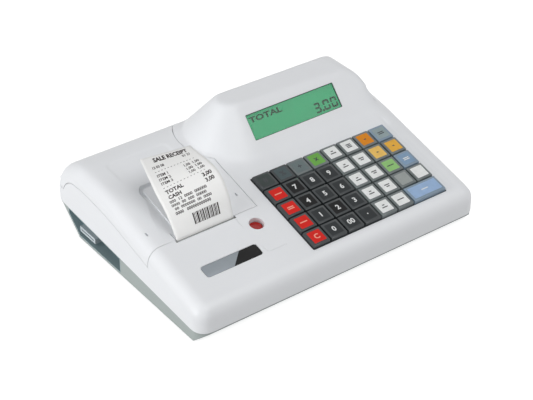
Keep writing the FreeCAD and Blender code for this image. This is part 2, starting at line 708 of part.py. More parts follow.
def tray_block(inset):
    """The solid tray below the case, drawn in by an inset."""
    face = Part.Face(yz_wire(tray_outline()))
    if inset:
        face = face.makeOffset2D(-inset, join=2)
    block = face.extrude(V(CASE_WIDTH, 0, 0)).translated(V(-HALF_WIDTH, 0, 0))
    return block.common(plan_prism(TRAY_INSET + inset))


def above_tray_floor():
    """The space over the tray's floor, open to both sides."""
    face = Part.Face(yz_wire(tray_outline())).makeOffset2D(-WALL, join=2)
    return face.extrude(V(2 * FAR, 0, 0)).translated(V(-FAR, 0, 0))


def bay_space(margin):
    """The port bay in the left side, grown by a margin inwards."""
    space = box(
        (-FAR, BAY_FRONT_Y - margin, -FAR),
        (BAY_INNER_X + margin, BAY_REAR_Y + margin, FAR),
    )
    roof = beside_seam(above=False).translated(V(0, 0, margin - BAY_ROOF))
    return space.common(roof)


def socket_spans(grow):
    """Low and high corners of each port socket, grown by a clearance."""
    floor = BOARD_HEIGHT + BOARD_THICKNESS
    left = BAY_INNER_X - SOCKET_LENGTH / 2
    spans = []
    for name, from_bay, length, height in PORT_SOCKETS:
        y = BAY_FRONT_Y + from_bay
        low = (left - grow, y - grow, floor - grow)
        high = (left + SOCKET_LENGTH + grow, y + length + grow, floor + height + grow)
        spans.append((low, high))
    return spans


def board_posts(left, right, front, rear, inset):
    """Four tray posts under the corners of a board."""
    places = [(x, y) for x in (left + inset, right - inset) for y in (front + inset, rear - inset)]
    low = FOOT_STAND + WALL / 2
    return [post(BOARD_POST_RADIUS, place, low, BOARD_HEIGHT) for place in places]


def base_tray():
    """The grey base tray with its port bay, posts, foot recesses and screw holes."""
    tray = tray_block(0).cut(bay_space(0).common(above_tray_floor()))
    tray = tray.cut(tray_block(WALL).cut(bay_space(WALL)))
    tray = tray.common(beside_seam(above=False))
    posts = board_posts(BOARD_LEFT_X, BOARD_RIGHT_X, BOARD_FRONT_Y, BOARD_REAR_Y, BOARD_POST_INSET)
    port_left, port_right = port_board_span()
    port_front = BAY_FRONT_Y + PORT_BOARD_MARGIN
    port_rear = port_front + PORT_BOARD_LENGTH
    posts += board_posts(port_left, port_right, port_front, port_rear, BOARD_POST_RADIUS)
    posts += [post(SCREW_POST_RADIUS, place, FOOT_STAND, SCREW_POST_TOP) for place in SCREW_PLACES]
    tray = join([tray] + [upright.common(tray_block(0)) for upright in posts])
    for low, high in socket_spans(SLIDE_GAP):
        tray = tray.cut(box(low, high))
    for place in foot_places():
        tray = tray.cut(post(FOOT_RADIUS, place, 0, FOOT_STAND + FOOT_RECESS))
    for place in SCREW_PLACES:
        tray = tray.cut(post(SCREW_HEAD_RADIUS + SLIDE_GAP, place, 0, SCREW_SEAT_HEIGHT))
        tray = tray.cut(post(SCREW_HOLE_RADIUS, place, 0, SCREW_POST_TOP + WALL))
    return tray


def foot_places():
    """The centres of the four rubber feet."""
    return [(x, y) for x in (-FOOT_X, FOOT_X) for y in (FOOT_FRONT_Y, FOOT_REAR_Y)]


def rubber_feet():
    """Four round rubber feet, set into the tray."""
    return group(post(FOOT_RADIUS, place, 0, FOOT_STAND + FOOT_RECESS) for place in foot_places())


def case_screws():
    """The screws that hold the tray to the upper case."""
    screws = []
    seat = SCREW_SEAT_HEIGHT
    for place in SCREW_PLACES:
        head = post(SCREW_HEAD_RADIUS, place, seat - SCREW_HEAD_THICKNESS, seat)
        shaft = post(SCREW_RADIUS, place, seat, seat + SCREW_SHAFT_LENGTH)
        screws.append(join([head, shaft]))
    return group(screws)


def port_board_span():
    """The X range of the small board behind the port bay."""
    left = BAY_INNER_X + WALL + SLIDE_GAP
    return left, left + PORT_BOARD_WIDTH


def port_connectors():
    """The port board and its sockets, each a separate solid."""
    left, right = port_board_span()
    board = box(
        (left, BAY_FRONT_Y + PORT_BOARD_MARGIN, BOARD_HEIGHT),
        (right, BAY_FRONT_Y + PORT_BOARD_MARGIN + PORT_BOARD_LENGTH, BOARD_HEIGHT + BOARD_THICKNESS),
    )
    sockets = []
    for low, high in socket_spans(0):
        mouth = box(
            (low[0] - 1, low[1] + SOCKET_WALL, low[2] + SOCKET_WALL),
            (low[0] + SOCKET_MOUTH_DEPTH, high[1] - SOCKET_WALL, high[2] - SOCKET_WALL),
        )
        sockets.append(box(low, high).cut(mouth))
    return group([board] + sockets)


def main_board():
    """The main circuit board with its larger components."""
    top = BOARD_HEIGHT + BOARD_THICKNESS
    board = box((BOARD_LEFT_X, BOARD_FRONT_Y, BOARD_HEIGHT), (BOARD_RIGHT_X, BOARD_REAR_Y, top))
    solids = [board]
    for across_board, along_board, width, length, height in CHIPS:
        x = BOARD_LEFT_X + across_board
        y = BOARD_FRONT_Y + along_board
        solids.append(box((x, y, top), (x + width, y + length, top + height)))
    for step in range(CAPACITOR_COUNT):
        place = (BOARD_RIGHT_X - CAPACITOR_PITCH * (step + 1), BOARD_REAR_Y - CAPACITOR_PITCH)
        solids.append(post(CAPACITOR_RADIUS, place, top, top + CAPACITOR_HEIGHT))
    return group(solids)


def key_span(row, column, width):
    """The X and V range of a key's cap. Row 0 is the rear row."""
    left = KEYPAD_LEFT_X + column * KEY_PITCH + KEY_GAP / 2
    front = KEYPAD_FRONT_V + (KEY_ROWS - 1 - row) * KEY_PITCH + KEY_GAP / 2
    return left, front, left + width * KEY_PITCH - KEY_GAP, front + KEY_PITCH - KEY_GAP


def key_layout():
    """Every key as (name, row, column, width in pitches). The front right key is double."""
    layout = []
    for row in range(KEY_ROWS):
        for column in range(KEY_COLUMNS):
            double = row == KEY_ROWS - 1 and column == KEY_COLUMNS - 2
            covered = row == KEY_ROWS - 1 and column == KEY_COLUMNS - 1
            if not covered:
                layout.append((f"key_r{row + 1}_c{column + 1}", row, column, 2 if double else 1))
    return layout


def key(row, column, width):
    """One key cap with its stem."""
    left, front, right, rear = key_span(row, column, width)
    cap = box((left, front, -KEY_SKIRT), (right, rear, KEY_PROUD))
    top_edges = [e for e in cap.Edges if all(v.Z > KEY_PROUD - 0.01 for v in e.Vertexes)]
    cap = cap.makeFillet(KEY_EDGE_RADIUS, top_edges)
    middle = ((left + right) / 2, (front + rear) / 2)
    half = STEM_SIDE / 2
    stem = box(
        (middle[0] - half, middle[1] - half, STEM_BOTTOM),
        (middle[0] + half, middle[1] + half, -KEY_SKIRT / 2),
    )
    return on_deck(join([cap, stem]))


def key_frame():
    """The dark frame between the keys, held under the edge of the deck's opening."""
    plate = keypad_plate(FRAME_MARGIN, FRAME_MARGIN, -WALL, -FRAME_SINK)
    under = -WALL - FRAME_FLANGE_THICKNESS
    flange = keypad_plate(FRAME_MARGIN + FRAME_FLANGE, FRAME_FLANGE_FRONT, under, -WALL)
    frame = join([plate, flange])
    for name, row, column, width in key_layout():
        left, front, right, rear = key_span(row, column, width)
        hole = box((left - SLIDE_GAP, front - SLIDE_GAP, -FAR), (right + SLIDE_GAP, rear + SLIDE_GAP, FAR))
        frame = frame.cut(hole)
    return on_deck(frame)


def keyboard_board():
    """The key board with one switch housing under each key."""
    margin = KEY_BOARD_MARGIN + KEY_POST_RADIUS
    board = keypad_plate(margin, 0, KEY_BOARD_TOP - BOARD_THICKNESS, KEY_BOARD_TOP)
    housings = []
    for name, row, column, width in key_layout():
        left, front, right, rear = key_span(row, column, width)
        middle = ((left + right) / 2, (front + rear) / 2)
        half = SWITCH_SIDE / 2
        bore = STEM_SIDE / 2 + SLIDE_GAP
        housing = box(
            (middle[0] - half, middle[1] - half, KEY_BOARD_TOP),
            (middle[0] + half, middle[1] + half, SWITCH_TOP),
        )
        hole = box(
            (middle[0] - bore, middle[1] - bore, KEY_BOARD_TOP),
            (middle[0] + bore, middle[1] + bore, SWITCH_TOP),
        )
        housings.append(housing.cut(hole))
    return group(on_deck(shape) for shape in [board] + housings)


def display_pane():
    """The clear pane of a display on a level face."""
    half = (WINDOW_WIDTH / 2 - PANE_GAP, WINDOW_HEIGHT / 2 - PANE_GAP)
    return box(
        (WINDOW_CENTRE_X - half[0], WINDOW_CENTRE_UP - half[1], -PANE_RECESS - PANE_THICKNESS),
        (WINDOW_CENTRE_X + half[0], WINDOW_CENTRE_UP + half[1], -PANE_RECESS),
    )


def display_module():
    """A display module behind its window on a level face: the glass block and its board."""
    solids = []
    top = -WALL
    sizes = (
        (MODULE_WIDTH, MODULE_HEIGHT, MODULE_DEPTH),
        (MODULE_BOARD_WIDTH, MODULE_BOARD_HEIGHT, BOARD_THICKNESS),
    )
    for width, height, depth in sizes:
        solids.append(box(
            (WINDOW_CENTRE_X - width / 2, WINDOW_CENTRE_UP - height / 2, top - depth),
            (WINDOW_CENTRE_X + width / 2, WINDOW_CENTRE_UP + height / 2, top),
        ))
        top -= depth
    return solids


def printer_frame():
    """The printer's side plates, the trough under the paper roll and the bay plate."""
    plates = []
    for left in (PLATE_LEFT_X - PLATE_THICKNESS, PLATE_RIGHT_X):
        plate = box(
            (left, PLATE_FRONT_Y, PLATE_BOTTOM),
            (left + PLATE_THICKNESS, PLATE_REAR_Y, PLATE_TOP),
        )
        half = PLATEN_AXLE_RADIUS + AXLE_NOTCH
        notch = box(
            (left - 1, PLATEN[0] - half, PLATEN[1] - half),
            (left + PLATE_THICKNESS + 1, PLATEN[0] + half, FAR),
        )
        plates.append(plate.cut(notch))
    centre = (ROLL_Y, ROLL_HEIGHT - ROLL_RADIUS - ROLL_GAP + TROUGH_RADIUS)
    outer = TROUGH_RADIUS + BAY_PLATE_THICKNESS
    ring = bar(outer, centre, PLATE_LEFT_X, PLATE_RIGHT_X)
    hollow = bar(TROUGH_RADIUS, centre, PLATE_LEFT_X, PLATE_RIGHT_X)
    trough = ring.cut(hollow).cut(box((-FAR, -FAR, centre[1]), (FAR, FAR, FAR)))
    frame = join(plates + [trough, bay_plate(), plate_feet()])
    return frame.cut(hollow)


def plate_feet():
    """Two feet that carry the printer's plates on the tray floor."""
    feet = []
    for left in (PLATE_LEFT_X - PLATE_THICKNESS, PLATE_RIGHT_X - PLATE_THICKNESS):
        feet.append(box(
            (left, PLATE_FRONT_Y, FOOT_STAND + WALL),
            (left + 2 * PLATE_THICKNESS, PLATE_REAR_Y, PLATE_BOTTOM + WALL),
        ))
    return group(feet)


def bay_plate():
    """The sloped plate around the paper roll, under the lid."""
    left = -HALF_WIDTH + WALL + LID_GAP
    right = LID_RIGHT_X - LID_GAP
    plate = across(core_outline(BAY_PLATE_DROP), left, right)
    plate = plate.cut(across(core_outline(BAY_PLATE_DROP + BAY_PLATE_THICKNESS), left - 1, right + 1))
    plate = plate.common(box((-FAR, BAY_PLATE_FRONT_Y, 0), (FAR, BAY_PLATE_REAR_Y, FAR)))
    opening = box(
        (PLATE_LEFT_X, -FAR, 0),
        (PLATE_RIGHT_X, ROLL_Y + TROUGH_RADIUS, FAR),
    )
    return plate.cut(opening)


def platen_roller():
    """The rubber platen with its axle and drive gear."""
    roller = bar(PLATEN_RADIUS, PLATEN, PLATEN_LEFT_X, PLATEN_RIGHT_X)
    axle_ends = (EAR_LEFT_X - PLATEN_EAR_THICKNESS, EAR_RIGHT_X + PLATEN_EAR_THICKNESS)
    axle = bar(PLATEN_AXLE_RADIUS, PLATEN, *axle_ends)
    gear_x = EAR_LEFT_X + HEAD_GAP
    gear = bar(DRIVE_GEAR_RADIUS, PLATEN, gear_x, gear_x + DRIVE_GEAR_WIDTH)
    return join([roller, axle, gear])


def print_head():
    """The thermal print head in front of the platen."""
    rear = PLATEN[0] - PLATEN_RADIUS - HEAD_GAP
    return box(
        (PLATE_LEFT_X + HEAD_END_GAP, rear - HEAD_THICKNESS, HEAD_BOTTOM),
        (PLATE_RIGHT_X - HEAD_END_GAP, rear, HEAD_TOP),
    )


def tear_bar():
    """The steel tear bar on the print head, at the front of the paper slot."""
    front = RECEIPT_START[0] - HEAD_GAP - TEAR_BAR_THICKNESS
    return box(
        (PLATE_LEFT_X + HEAD_END_GAP, front, HEAD_TOP),
        (PLATE_RIGHT_X - HEAD_END_GAP, front + TEAR_BAR_THICKNESS, HEAD_TOP + TEAR_BAR_HEIGHT),
    )


def feed_motor():
    """The feed motor on the printer's left plate, with its pinion beside the platen's gear."""
    height = PLATEN[1] - DRIVE_GEAR_RADIUS - PINION_RADIUS - SLIDE_GAP
    plate = PLATE_LEFT_X - PLATE_THICKNESS
    right = EAR_LEFT_X - PLATEN_EAR_THICKNESS - SLIDE_GAP
    body = bar(MOTOR_RADIUS, (PLATEN[0], height), right - MOTOR_LENGTH, right)
    pinion = bar(PINION_RADIUS, (PLATEN[0], height), right, plate)
    return join([body, pinion])


def paper_roll():
    """The roll of receipt paper on its hollow core."""
    centre = (ROLL_Y, ROLL_HEIGHT)
    roll = bar(ROLL_RADIUS, centre, PAPER_LEFT_X, PAPER_RIGHT_X)
    return roll.cut(bar(ROLL_CORE_RADIUS, centre, PAPER_LEFT_X, PAPER_RIGHT_X))


def receipt():
    """The printed receipt: straight out of the slot, then curled back over the lid."""
    start = math.radians(RECEIPT_START_ANGLE)
    end = math.radians(RECEIPT_END_ANGLE)
    run = (math.cos(start), math.sin(start))
    bend = (
        RECEIPT_START[0] + RECEIPT_FIRST_RUN * run[0],
        RECEIPT_START[1] + RECEIPT_FIRST_RUN * run[1],
    )
    centre = (bend[0] + RECEIPT_BEND_RADIUS * run[1], bend[1] - RECEIPT_BEND_RADIUS * run[0])
    sides = []
    for offset in (0, PAPER_THICKNESS):
        radius = RECEIPT_BEND_RADIUS - offset
        middle = (RECEIPT_START_ANGLE + RECEIPT_END_ANGLE) / 2
        arc = [on_arc(centre, radius, 90 + a) for a in (RECEIPT_START_ANGLE, middle, RECEIPT_END_ANGLE)]
        first = (arc[0][0] - RECEIPT_FIRST_RUN * run[0], arc[0][1] - RECEIPT_FIRST_RUN * run[1])
        last = (arc[2][0] + RECEIPT_LAST_RUN * math.cos(end), arc[2][1] + RECEIPT_LAST_RUN * math.sin(end))
        sides.append((first, arc, last))
    (a_first, a_arc, a_last), (b_first, b_arc, b_last) = sides
    outline = [
        (a_first, a_arc[0]),
        a_arc,
        (a_arc[2], a_last),
        (a_last, b_last),
        (b_last, b_arc[2]),
        b_arc[::-1],
        (b_arc[0], b_first),
        (b_first, a_first),
    ]
    return across(outline, PAPER_LEFT_X, PAPER_RIGHT_X)


def red_button():
    """The red push button at the bottom of its well."""
    top = -BUTTON_SINK
    under = top - BUTTON_THICKNESS
    disc = post(BUTTON_RADIUS, BUTTON, under, top)
    stem = post(BUTTON_STEM_RADIUS, BUTTON, under - BUTTON_STEM_LENGTH, under)
    return on_deck(join([disc, stem]))


def nodes():
    """Every sub-part of the register by name."""
    parts = {
        "base_tray": base_tray(),
        "upper_case": upper_case(),
        "port_connectors": port_connectors(),
        "rubber_feet": rubber_feet(),
        "case_screws": case_screws(),
        "main_board": main_board(),
        "keyboard_board": keyboard_board(),
        "key_frame": key_frame(),
        "operator_display": group(on_hood(s) for s in display_module()),
        "operator_window": on_hood(display_pane()),
        "customer_display": group(on_hood(s, rear=True) for s in display_module() + [display_pane()]),
        "paper_lid": paper_lid(),
        "lid_hinge_pins": hinge_pins(),
        "printer_frame": printer_frame(),
        "print_head": print_head(),
        "tear_bar": tear_bar(),
        "platen_roller": platen_roller(),
        "feed_motor": feed_motor(),
        "paper_roll": paper_roll(),
        "receipt": receipt(),
        "red_button": red_button(),
    }
    for name, row, column, width in key_layout():
        parts[name] = key(row, column, width)
    return parts


def main():
    """Write one STEP file for each sub-part."""
    os.makedirs("parts", exist_ok=True)
    for name, shape in nodes().items():
        shape.exportStep(f"parts/{name}.step")
        solids = len(shape.Solids)
        print(f"{name}: {solids} solid(s), {shape.Volume / 1000:.1f} cm3, valid {shape.isValid()}")


main()
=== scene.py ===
"""Looks of the ticket register: a soft white moulded till with keypad, display hood and receipt.

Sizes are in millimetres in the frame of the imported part: X runs along the width, Y from front
to back and Z up. Every mesh is turned to metres when it is finished.
"""
import logging
import math
from dataclasses import dataclass, field
from enum import Enum
from typing import Iterable, Optional, Sequence

import bmesh
import bpy
from mathutils import Matrix, Vector


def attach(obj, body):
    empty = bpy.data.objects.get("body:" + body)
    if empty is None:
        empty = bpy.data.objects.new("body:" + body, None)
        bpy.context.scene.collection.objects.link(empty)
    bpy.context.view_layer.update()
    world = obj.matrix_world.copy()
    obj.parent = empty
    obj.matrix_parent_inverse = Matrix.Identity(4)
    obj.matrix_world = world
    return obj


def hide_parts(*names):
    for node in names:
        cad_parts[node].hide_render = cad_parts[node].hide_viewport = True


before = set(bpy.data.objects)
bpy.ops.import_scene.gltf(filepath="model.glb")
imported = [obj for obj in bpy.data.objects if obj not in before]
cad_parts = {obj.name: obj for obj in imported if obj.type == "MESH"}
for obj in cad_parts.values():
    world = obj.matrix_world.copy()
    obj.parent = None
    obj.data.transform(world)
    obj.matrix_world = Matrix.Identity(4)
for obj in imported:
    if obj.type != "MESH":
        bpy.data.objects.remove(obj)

log = logging.getLogger("ticket_register")
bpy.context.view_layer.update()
MM = 0.001
FAR = 400.0
PATCHES = (0.3, 0.7)
Point = tuple[float, float]
Colour = tuple[float, float, float, float]


def linear(hex_colour: str) -> Colour:
    """Turn an sRGB hex value into linear light.

    Args:
        hex_colour: Six hex digits after a hash sign.

    Returns:
        Red, green, blue and an alpha of 1.
    """
    channels = [int(hex_colour[i:i + 2], 16) / 255 for i in (1, 3, 5)]
    light = [c / 12.92 if c <= 0.04045 else ((c + 0.055) / 1.055) ** 2.4 for c in channels]
    return (light[0], light[1], light[2], 1.0)


def add_node(
    tree: bpy.types.NodeTree,
    kind: str,
    settings: Optional[dict] = None,
    links: Optional[dict] = None,
) -> bpy.types.Node:
    """Add a node with its settings and links.

    Args:
        tree: The material's or world's node tree.
        kind: The node's type.
        settings: Property names or input names and numbers, with their values.
        links: Input names and numbers, with the sockets that feed them.

    Returns:
        The new node.
    """
    node = tree.nodes.new(kind)
    for key, value in (settings or {}).items():
        if isinstance(key, int) or key in node.inputs:
            node.inputs[key].default_value = value
        else:
            setattr(node, key, value)
    for key, socket in (links or {}).items():
        tree.links.new(socket, node.inputs[key])
    return node


class Grain(Enum):
    """The fine relief that a surface keeps from how it was made."""

    SMOOTH = "smooth"
    SPARK = "spark"
    BRUSHED = "brushed"
    FIBRE = "fibre"
    GROUND = "ground"


@dataclass(frozen=True)
class Finish:
    """A material by what it is made of and how its surface was made.

    The grain's size and depth are in millimetres. Colour wanders by a share of itself over
    patches of mottle_mm, as it does in moulded plastic.
    """

    name: str
    colour: str
    roughness: float
    metallic: float = 0.0
    ior: float = 1.5
    coat: float = 0.0
    coat_roughness: float = 0.06
    grain: Grain = Grain.SMOOTH
    grain_mm: float = 0.6
    depth_mm: float = 0.02
    mottle: float = 0.03
    mottle_mm: float = 60.0
    edge_mm: float = 0.0
    transmission: float = 0.0
    glow: float = 0.0

    def material(self) -> bpy.types.Material:
        """The material, made once and then reused."""
        found = bpy.data.materials.get(self.name)
        if found:
            return found
        made = bpy.data.materials.new(self.name)
        made.use_nodes = True
        tree = made.node_tree
        tree.nodes.clear()
        output = add_node(tree, "ShaderNodeOutputMaterial")
        shader = add_node(tree, "ShaderNodeBsdfPrincipled", {
            "Base Color": linear(self.colour),
            "Roughness": self.roughness,
            "Metallic": self.metallic,
            "Coat Weight": self.coat,
            "Coat Roughness": self.coat_roughness,
            "Transmission Weight": self.transmission,
        })
        if not self.metallic:
            shader.inputs["IOR"].default_value = self.ior
        # A glow is painted light: the surface gives off light in its own colour.
        if self.glow:
            shader.inputs["Emission Color"].default_value = linear(self.colour)
            shader.inputs["Emission Strength"].default_value = self.glow
        tree.links.new(shader.outputs["BSDF"], output.inputs["Surface"])
        place = add_node(tree, "ShaderNodeTexCoord").outputs["Object"]
        self.colour_patches(tree, shader, place)
        self.relief(tree, shader, place)
        return made

    def colour_patches(
        self, tree: bpy.types.NodeTree, shader: bpy.types.Node, place: bpy.types.NodeSocket
    ) -> None:
        """Let the colour and gloss wander a little over the surface.

        Args:
            tree: The material's node tree.
            shader: The surface shader.
            place: The object coordinates.
        """
        if not self.mottle:
            return
        patches = add_node(
            tree, "ShaderNodeTexNoise",
            {"Scale": 1 / (self.mottle_mm * MM), "Detail": 3.0, "Roughness": 0.6},
            {"Vector": place},
        )
        base = linear(self.colour)
        dark = tuple(c * (1 - self.mottle) for c in base[:3]) + (1.0,)
        light = tuple(min(1.0, c * (1 + self.mottle / 2)) for c in base[:3]) + (1.0,)
        ramp = add_node(tree, "ShaderNodeValToRGB", links={"Fac": patches.outputs["Fac"]})
        ramp.color_ramp.elements[0].position = PATCHES[0]
        ramp.color_ramp.elements[0].color = dark
        ramp.color_ramp.elements[1].position = PATCHES[1]
        ramp.color_ramp.elements[1].color = light
        tree.links.new(ramp.outputs["Color"], shader.inputs["Base Color"])
        gloss = add_node(tree, "ShaderNodeMapRange", {
            "From Min": PATCHES[0],
            "From Max": PATCHES[1],
            "To Min": max(0.0, self.roughness * 0.9),
            "To Max": min(1.0, self.roughness * 1.1),
        }, {"Value": patches.outputs["Fac"]})
        tree.links.new(gloss.outputs["Result"], shader.inputs["Roughness"])

    def relief(
        self, tree: bpy.types.NodeTree, shader: bpy.types.Node, place: bpy.types.NodeSocket
    ) -> None:
        """Add the grain's bump, over edges that are rounded in shading.

        Args:
            tree: The material's node tree.
            shader: The surface shader.
            place: The object coordinates.
        """
        normal = None
        if self.edge_mm:
            edge = add_node(tree, "ShaderNodeBevel", {"Radius": self.edge_mm * MM, "samples": 4})
            normal = edge.outputs["Normal"]
        if self.grain is not Grain.SMOOTH:
            stretch = (1.0, 1.0, 1.0)
            if self.grain is Grain.BRUSHED:
                stretch = (0.04, 1.0, 1.0)
            if self.grain is Grain.FIBRE:
                stretch = (0.35, 1.0, 1.0)
            if self.grain is Grain.GROUND:
                stretch = (1.0, 0.2, 0.2)
            spread = add_node(tree, "ShaderNodeMapping", {"Scale": stretch}, {"Vector": place})
            grit = add_node(
                tree, "ShaderNodeTexNoise",
                {"Scale": 1 / (self.grain_mm * MM), "Detail": 2.0},
                {"Vector": spread.outputs["Vector"]},
            )
            bump = add_node(
                tree, "ShaderNodeBump",
                {"Strength": 0.6, "Distance": self.depth_mm * MM},
                {"Height": grit.outputs["Fac"]},
            )
            if normal:
                tree.links.new(normal, bump.inputs["Normal"])
            normal = bump.outputs["Normal"]
        if normal:
            tree.links.new(normal, shader.inputs["Normal"])


# Injection-moulded ABS from a spark-eroded mould: satin, with a sand-fine grain. The grain is
# drawn at 0.8 mm, coarser than the real 0.2 mm, so that it shows.
WHITE_SHELL = Finish(
    "moulded_abs_white", "#ECEEF1", 0.40, grain=Grain.SPARK, grain_mm=0.8, depth_mm=0.02,
    mottle=0.015, edge_mm=0.7,
)
# ABS coloured through, with a slightly duller moulded face that hides scuffs.
TRAY_GREY = Finish(
    "moulded_abs_grey", "#A4ADAB", 0.5, grain=Grain.SPARK, grain_mm=0.9, depth_mm=0.03,
    mottle=0.03, edge_mm=0.5,
)
# Cutter guard in the paper slot: dark olive moulded nylon, matt.
GUARD_OLIVE = Finish("moulded_nylon_olive", "#3E4136", 0.6)
# Blue grey ABS of the port bay, darker and bluer than the tray as painted shade for the shadowed
# bay, with a soft gloss.
BAY_SHADE_GREY = Finish("moulded_abs_bay_painted_shade", "#93A8AD", 0.45, grain=Grain.SPARK, grain_mm=0.9)
# Dark ABS grid between the keys, with a fine matt texture.
KEY_GRID = Finish(
    "moulded_abs_key_grid", "#3B3F42", 0.45, grain=Grain.SPARK, grain_mm=0.7, edge_mm=0.4,
)
# Smoke-tinted styrene caps, polished in the mould: dark, with bright edges painted on as a
# highlight.
CAP_DARK = Finish(
    "moulded_styrene_smoke", "#34393B", 0.3, ior=1.4, coat=0.25, mottle=0.12, mottle_mm=9.0,
)
# The same caps where a pale card lights them from within.
CAP_MID = Finish(
    "moulded_styrene_clear_shaded", "#6C7475", 0.3, ior=1.4, coat=0.25, mottle=0.15, mottle_mm=9.0,
)
# The same caps over a blue card, which tints them.
CAP_BLUE = Finish(
    "moulded_styrene_clear_blue", "#8296A8", 0.3, ior=1.4, coat=0.25, mottle=0.1, mottle_mm=9.0,
)
# Polished outer edge of a clear cap, coloured pale as a painted highlight: it shows as a pale line.
CAP_EDGE_HIGHLIGHT = Finish(
    "polished_styrene_painted_highlight", "#CCD3D3", 0.15, ior=1.59, coat=0.4, mottle=0.25, mottle_mm=6.0,
)
# Screen-printed ink: pale on dark cards, dark on pale ones and blush on red ones.
PRINT_PALE = Finish("printed_ink_pale", "#E4E6E6", 0.4, mottle=0.04, mottle_mm=5.0)
PRINT_DARK = Finish("printed_ink_dark", "#33373B", 0.4, mottle=0.04, mottle_mm=5.0)
PRINT_BLUSH = Finish("printed_ink_blush", "#F2A590", 0.4, mottle=0.04, mottle_mm=5.0)
# Red acrylic lens: deep in colour and glossy.
RED_LENS = Finish(
    "moulded_acrylic_red", "#A5120B", 0.15, ior=1.4, coat=0.3, coat_roughness=0.03, mottle=0.05,
    mottle_mm=6.0,
)
# Brushed aluminium foil label, lacquered.
BADGE_SILVER = Finish(
    "brushed_aluminium_label", "#8F969C", 0.38, metallic=0.6, grain=Grain.BRUSHED, grain_mm=0.3,
    depth_mm=0.01, mottle=0.04, mottle_mm=8.0,
)
# Black printed film with a satin face.
BADGE_BLACK = Finish("printed_film_black", "#0B0B0C", 0.45, ior=1.3, mottle=0.08, mottle_mm=10.0)
# Green liquid crystal glass with a faint glow: painted light, standing in for the lamp light that
# the clear pane keeps from it.
LCD_GREEN_PAINTED_GLOW = Finish(
    "lcd_glass_green_painted_glow", "#36A875", 0.45, ior=1.3, mottle=0.03, mottle_mm=30.0, glow=0.12,
)
# Switched-on liquid crystal segments: dark green, matt.
LCD_FIGURES = Finish("lcd_segment_dark", "#0B3A26", 0.6, ior=1.3, mottle=0.04, mottle_mm=6.0)
# Dark green grey inner walls of the window: painted shade for the shadow and dark reflection on
# them.
WINDOW_WALL_SHADE = Finish("window_wall_painted_shade", "#20302B", 0.5, grain=Grain.SPARK, grain_mm=0.7)
# Cast acrylic pane: clear and polished.
CLEAR_PANE = Finish(
    "cast_acrylic_clear", "#F6FBF8", 0.03, ior=1.49, transmission=1.0, mottle=0.0,
)
# Pressed tin-plated steel: bright, with faint rolling lines.
STEEL_PRESSED = Finish(
    "pressed_tinplate_steel", "#A9ADAF", 0.3, metallic=1.0, grain=Grain.BRUSHED, grain_mm=0.4,
    depth_mm=0.01, edge_mm=0.15,
)
# Zinc-plated machined steel: slightly blue, ground fine.
STEEL_ZINC = Finish(
    "zinc_plated_steel", "#B4B9C0", 0.28, metallic=1.0, grain=Grain.GROUND, grain_mm=0.5,
    depth_mm=0.01, edge_mm=0.15,
)
# Epoxy glass board under green solder mask, which is glossy over the copper.
BOARD_GREEN = Finish(
    "epoxy_board_solder_mask", "#2F6B41", 0.3, coat=0.4, grain=Grain.FIBRE, grain_mm=1.2,
    depth_mm=0.03, mottle=0.15, mottle_mm=7.0,
)
# Glass-filled nylon sockets, pale and matt.
SOCKET_PALE = Finish(
    "moulded_nylon_pale", "#C3CDD2", 0.45, grain=Grain.SPARK, grain_mm=0.7, mottle=0.05,
    edge_mm=0.3,
)
# The same nylon in a dark shade.
SOCKET_DARK = Finish(
    "moulded_nylon_dark", "#3F4E52", 0.45, grain=Grain.SPARK, grain_mm=0.7, mottle=0.05,
    edge_mm=0.3,
)
# Moulded nitrile rubber: nearly black and matt.
RUBBER = Finish(
    "moulded_nitrile_rubber", "#26282A", 0.7, grain=Grain.SPARK, grain_mm=0.7, depth_mm=0.05,
    mottle=0.1, mottle_mm=9.0,
)
# Glass-filled nylon of the printer's frame: dark grey, slightly fibrous.
PRINTER_DARK = Finish(
    "glass_filled_nylon_dark", "#3A3F43", 0.5, grain=Grain.FIBRE, grain_mm=0.9, depth_mm=0.04,
    mottle=0.08, mottle_mm=12.0, edge_mm=0.3,
)
# Glazed alumina of the print head: smooth, off white.
CERAMIC = Finish("glazed_alumina", "#D9D4C8", 0.2, coat=0.5, mottle=0.05, mottle_mm=8.0)
# Thermal paper: coated, smooth and bright, with a faint fibre.
THERMAL_PAPER = Finish(
    "coated_thermal_paper", "#FAFAF9", 0.6, grain=Grain.FIBRE, grain_mm=0.9, depth_mm=0.01,
    mottle=0.015, mottle_mm=25.0,
)
# The wound roll of the same paper, its layers seen as a slight fibre.
WOUND_PAPER = Finish(
    "wound_thermal_paper", "#ECEAE6", 0.7, grain=Grain.FIBRE, grain_mm=0.7, depth_mm=0.04,
    mottle=0.04, mottle_mm=12.0,
)
# Coating of the paper darkened by heat: brownish grey print.
THERMAL_PRINT = Finish("heat_darkened_coating", "#2E2627", 0.6, ior=1.3, mottle=0.12, mottle_mm=3.0)


def dress(piece: bpy.types.Object, *finishes: Finish) -> bpy.types.Object:
    """Give a piece its finishes, one for each material slot.

    Args:
        piece: The object to dress.
        finishes: The finishes, in slot order.

    Returns:
        The same object.
    """
    piece.data.materials.clear()
    for finish in finishes:
        piece.data.materials.append(finish.material())
    return piece


def finish_mesh(bm: bmesh.types.BMesh, name: str, sharp: float = 35.0) -> bpy.types.Object:
    """Turn a bmesh in millimetres into a smooth-shaded object in metres.

    Args:
        bm: The mesh, which is freed.
        name: The new object's name.
        sharp: Edges that turn by more than this many degrees stay crisp.

    Returns:
        The new object, linked to the scene.
    """
    bmesh.ops.scale(bm, vec=(MM, MM, MM), verts=bm.verts)
    limit = math.radians(sharp)
    for face in bm.faces:
        face.smooth = True
    for edge in bm.edges:
        edge.smooth = not edge.is_manifold or edge.calc_face_angle(0.0) < limit
    data = bpy.data.meshes.new(name)
    bm.to_mesh(data)
    bm.free()
    made = bpy.data.objects.new(name, data)
    bpy.context.scene.collection.objects.link(made)
    return made


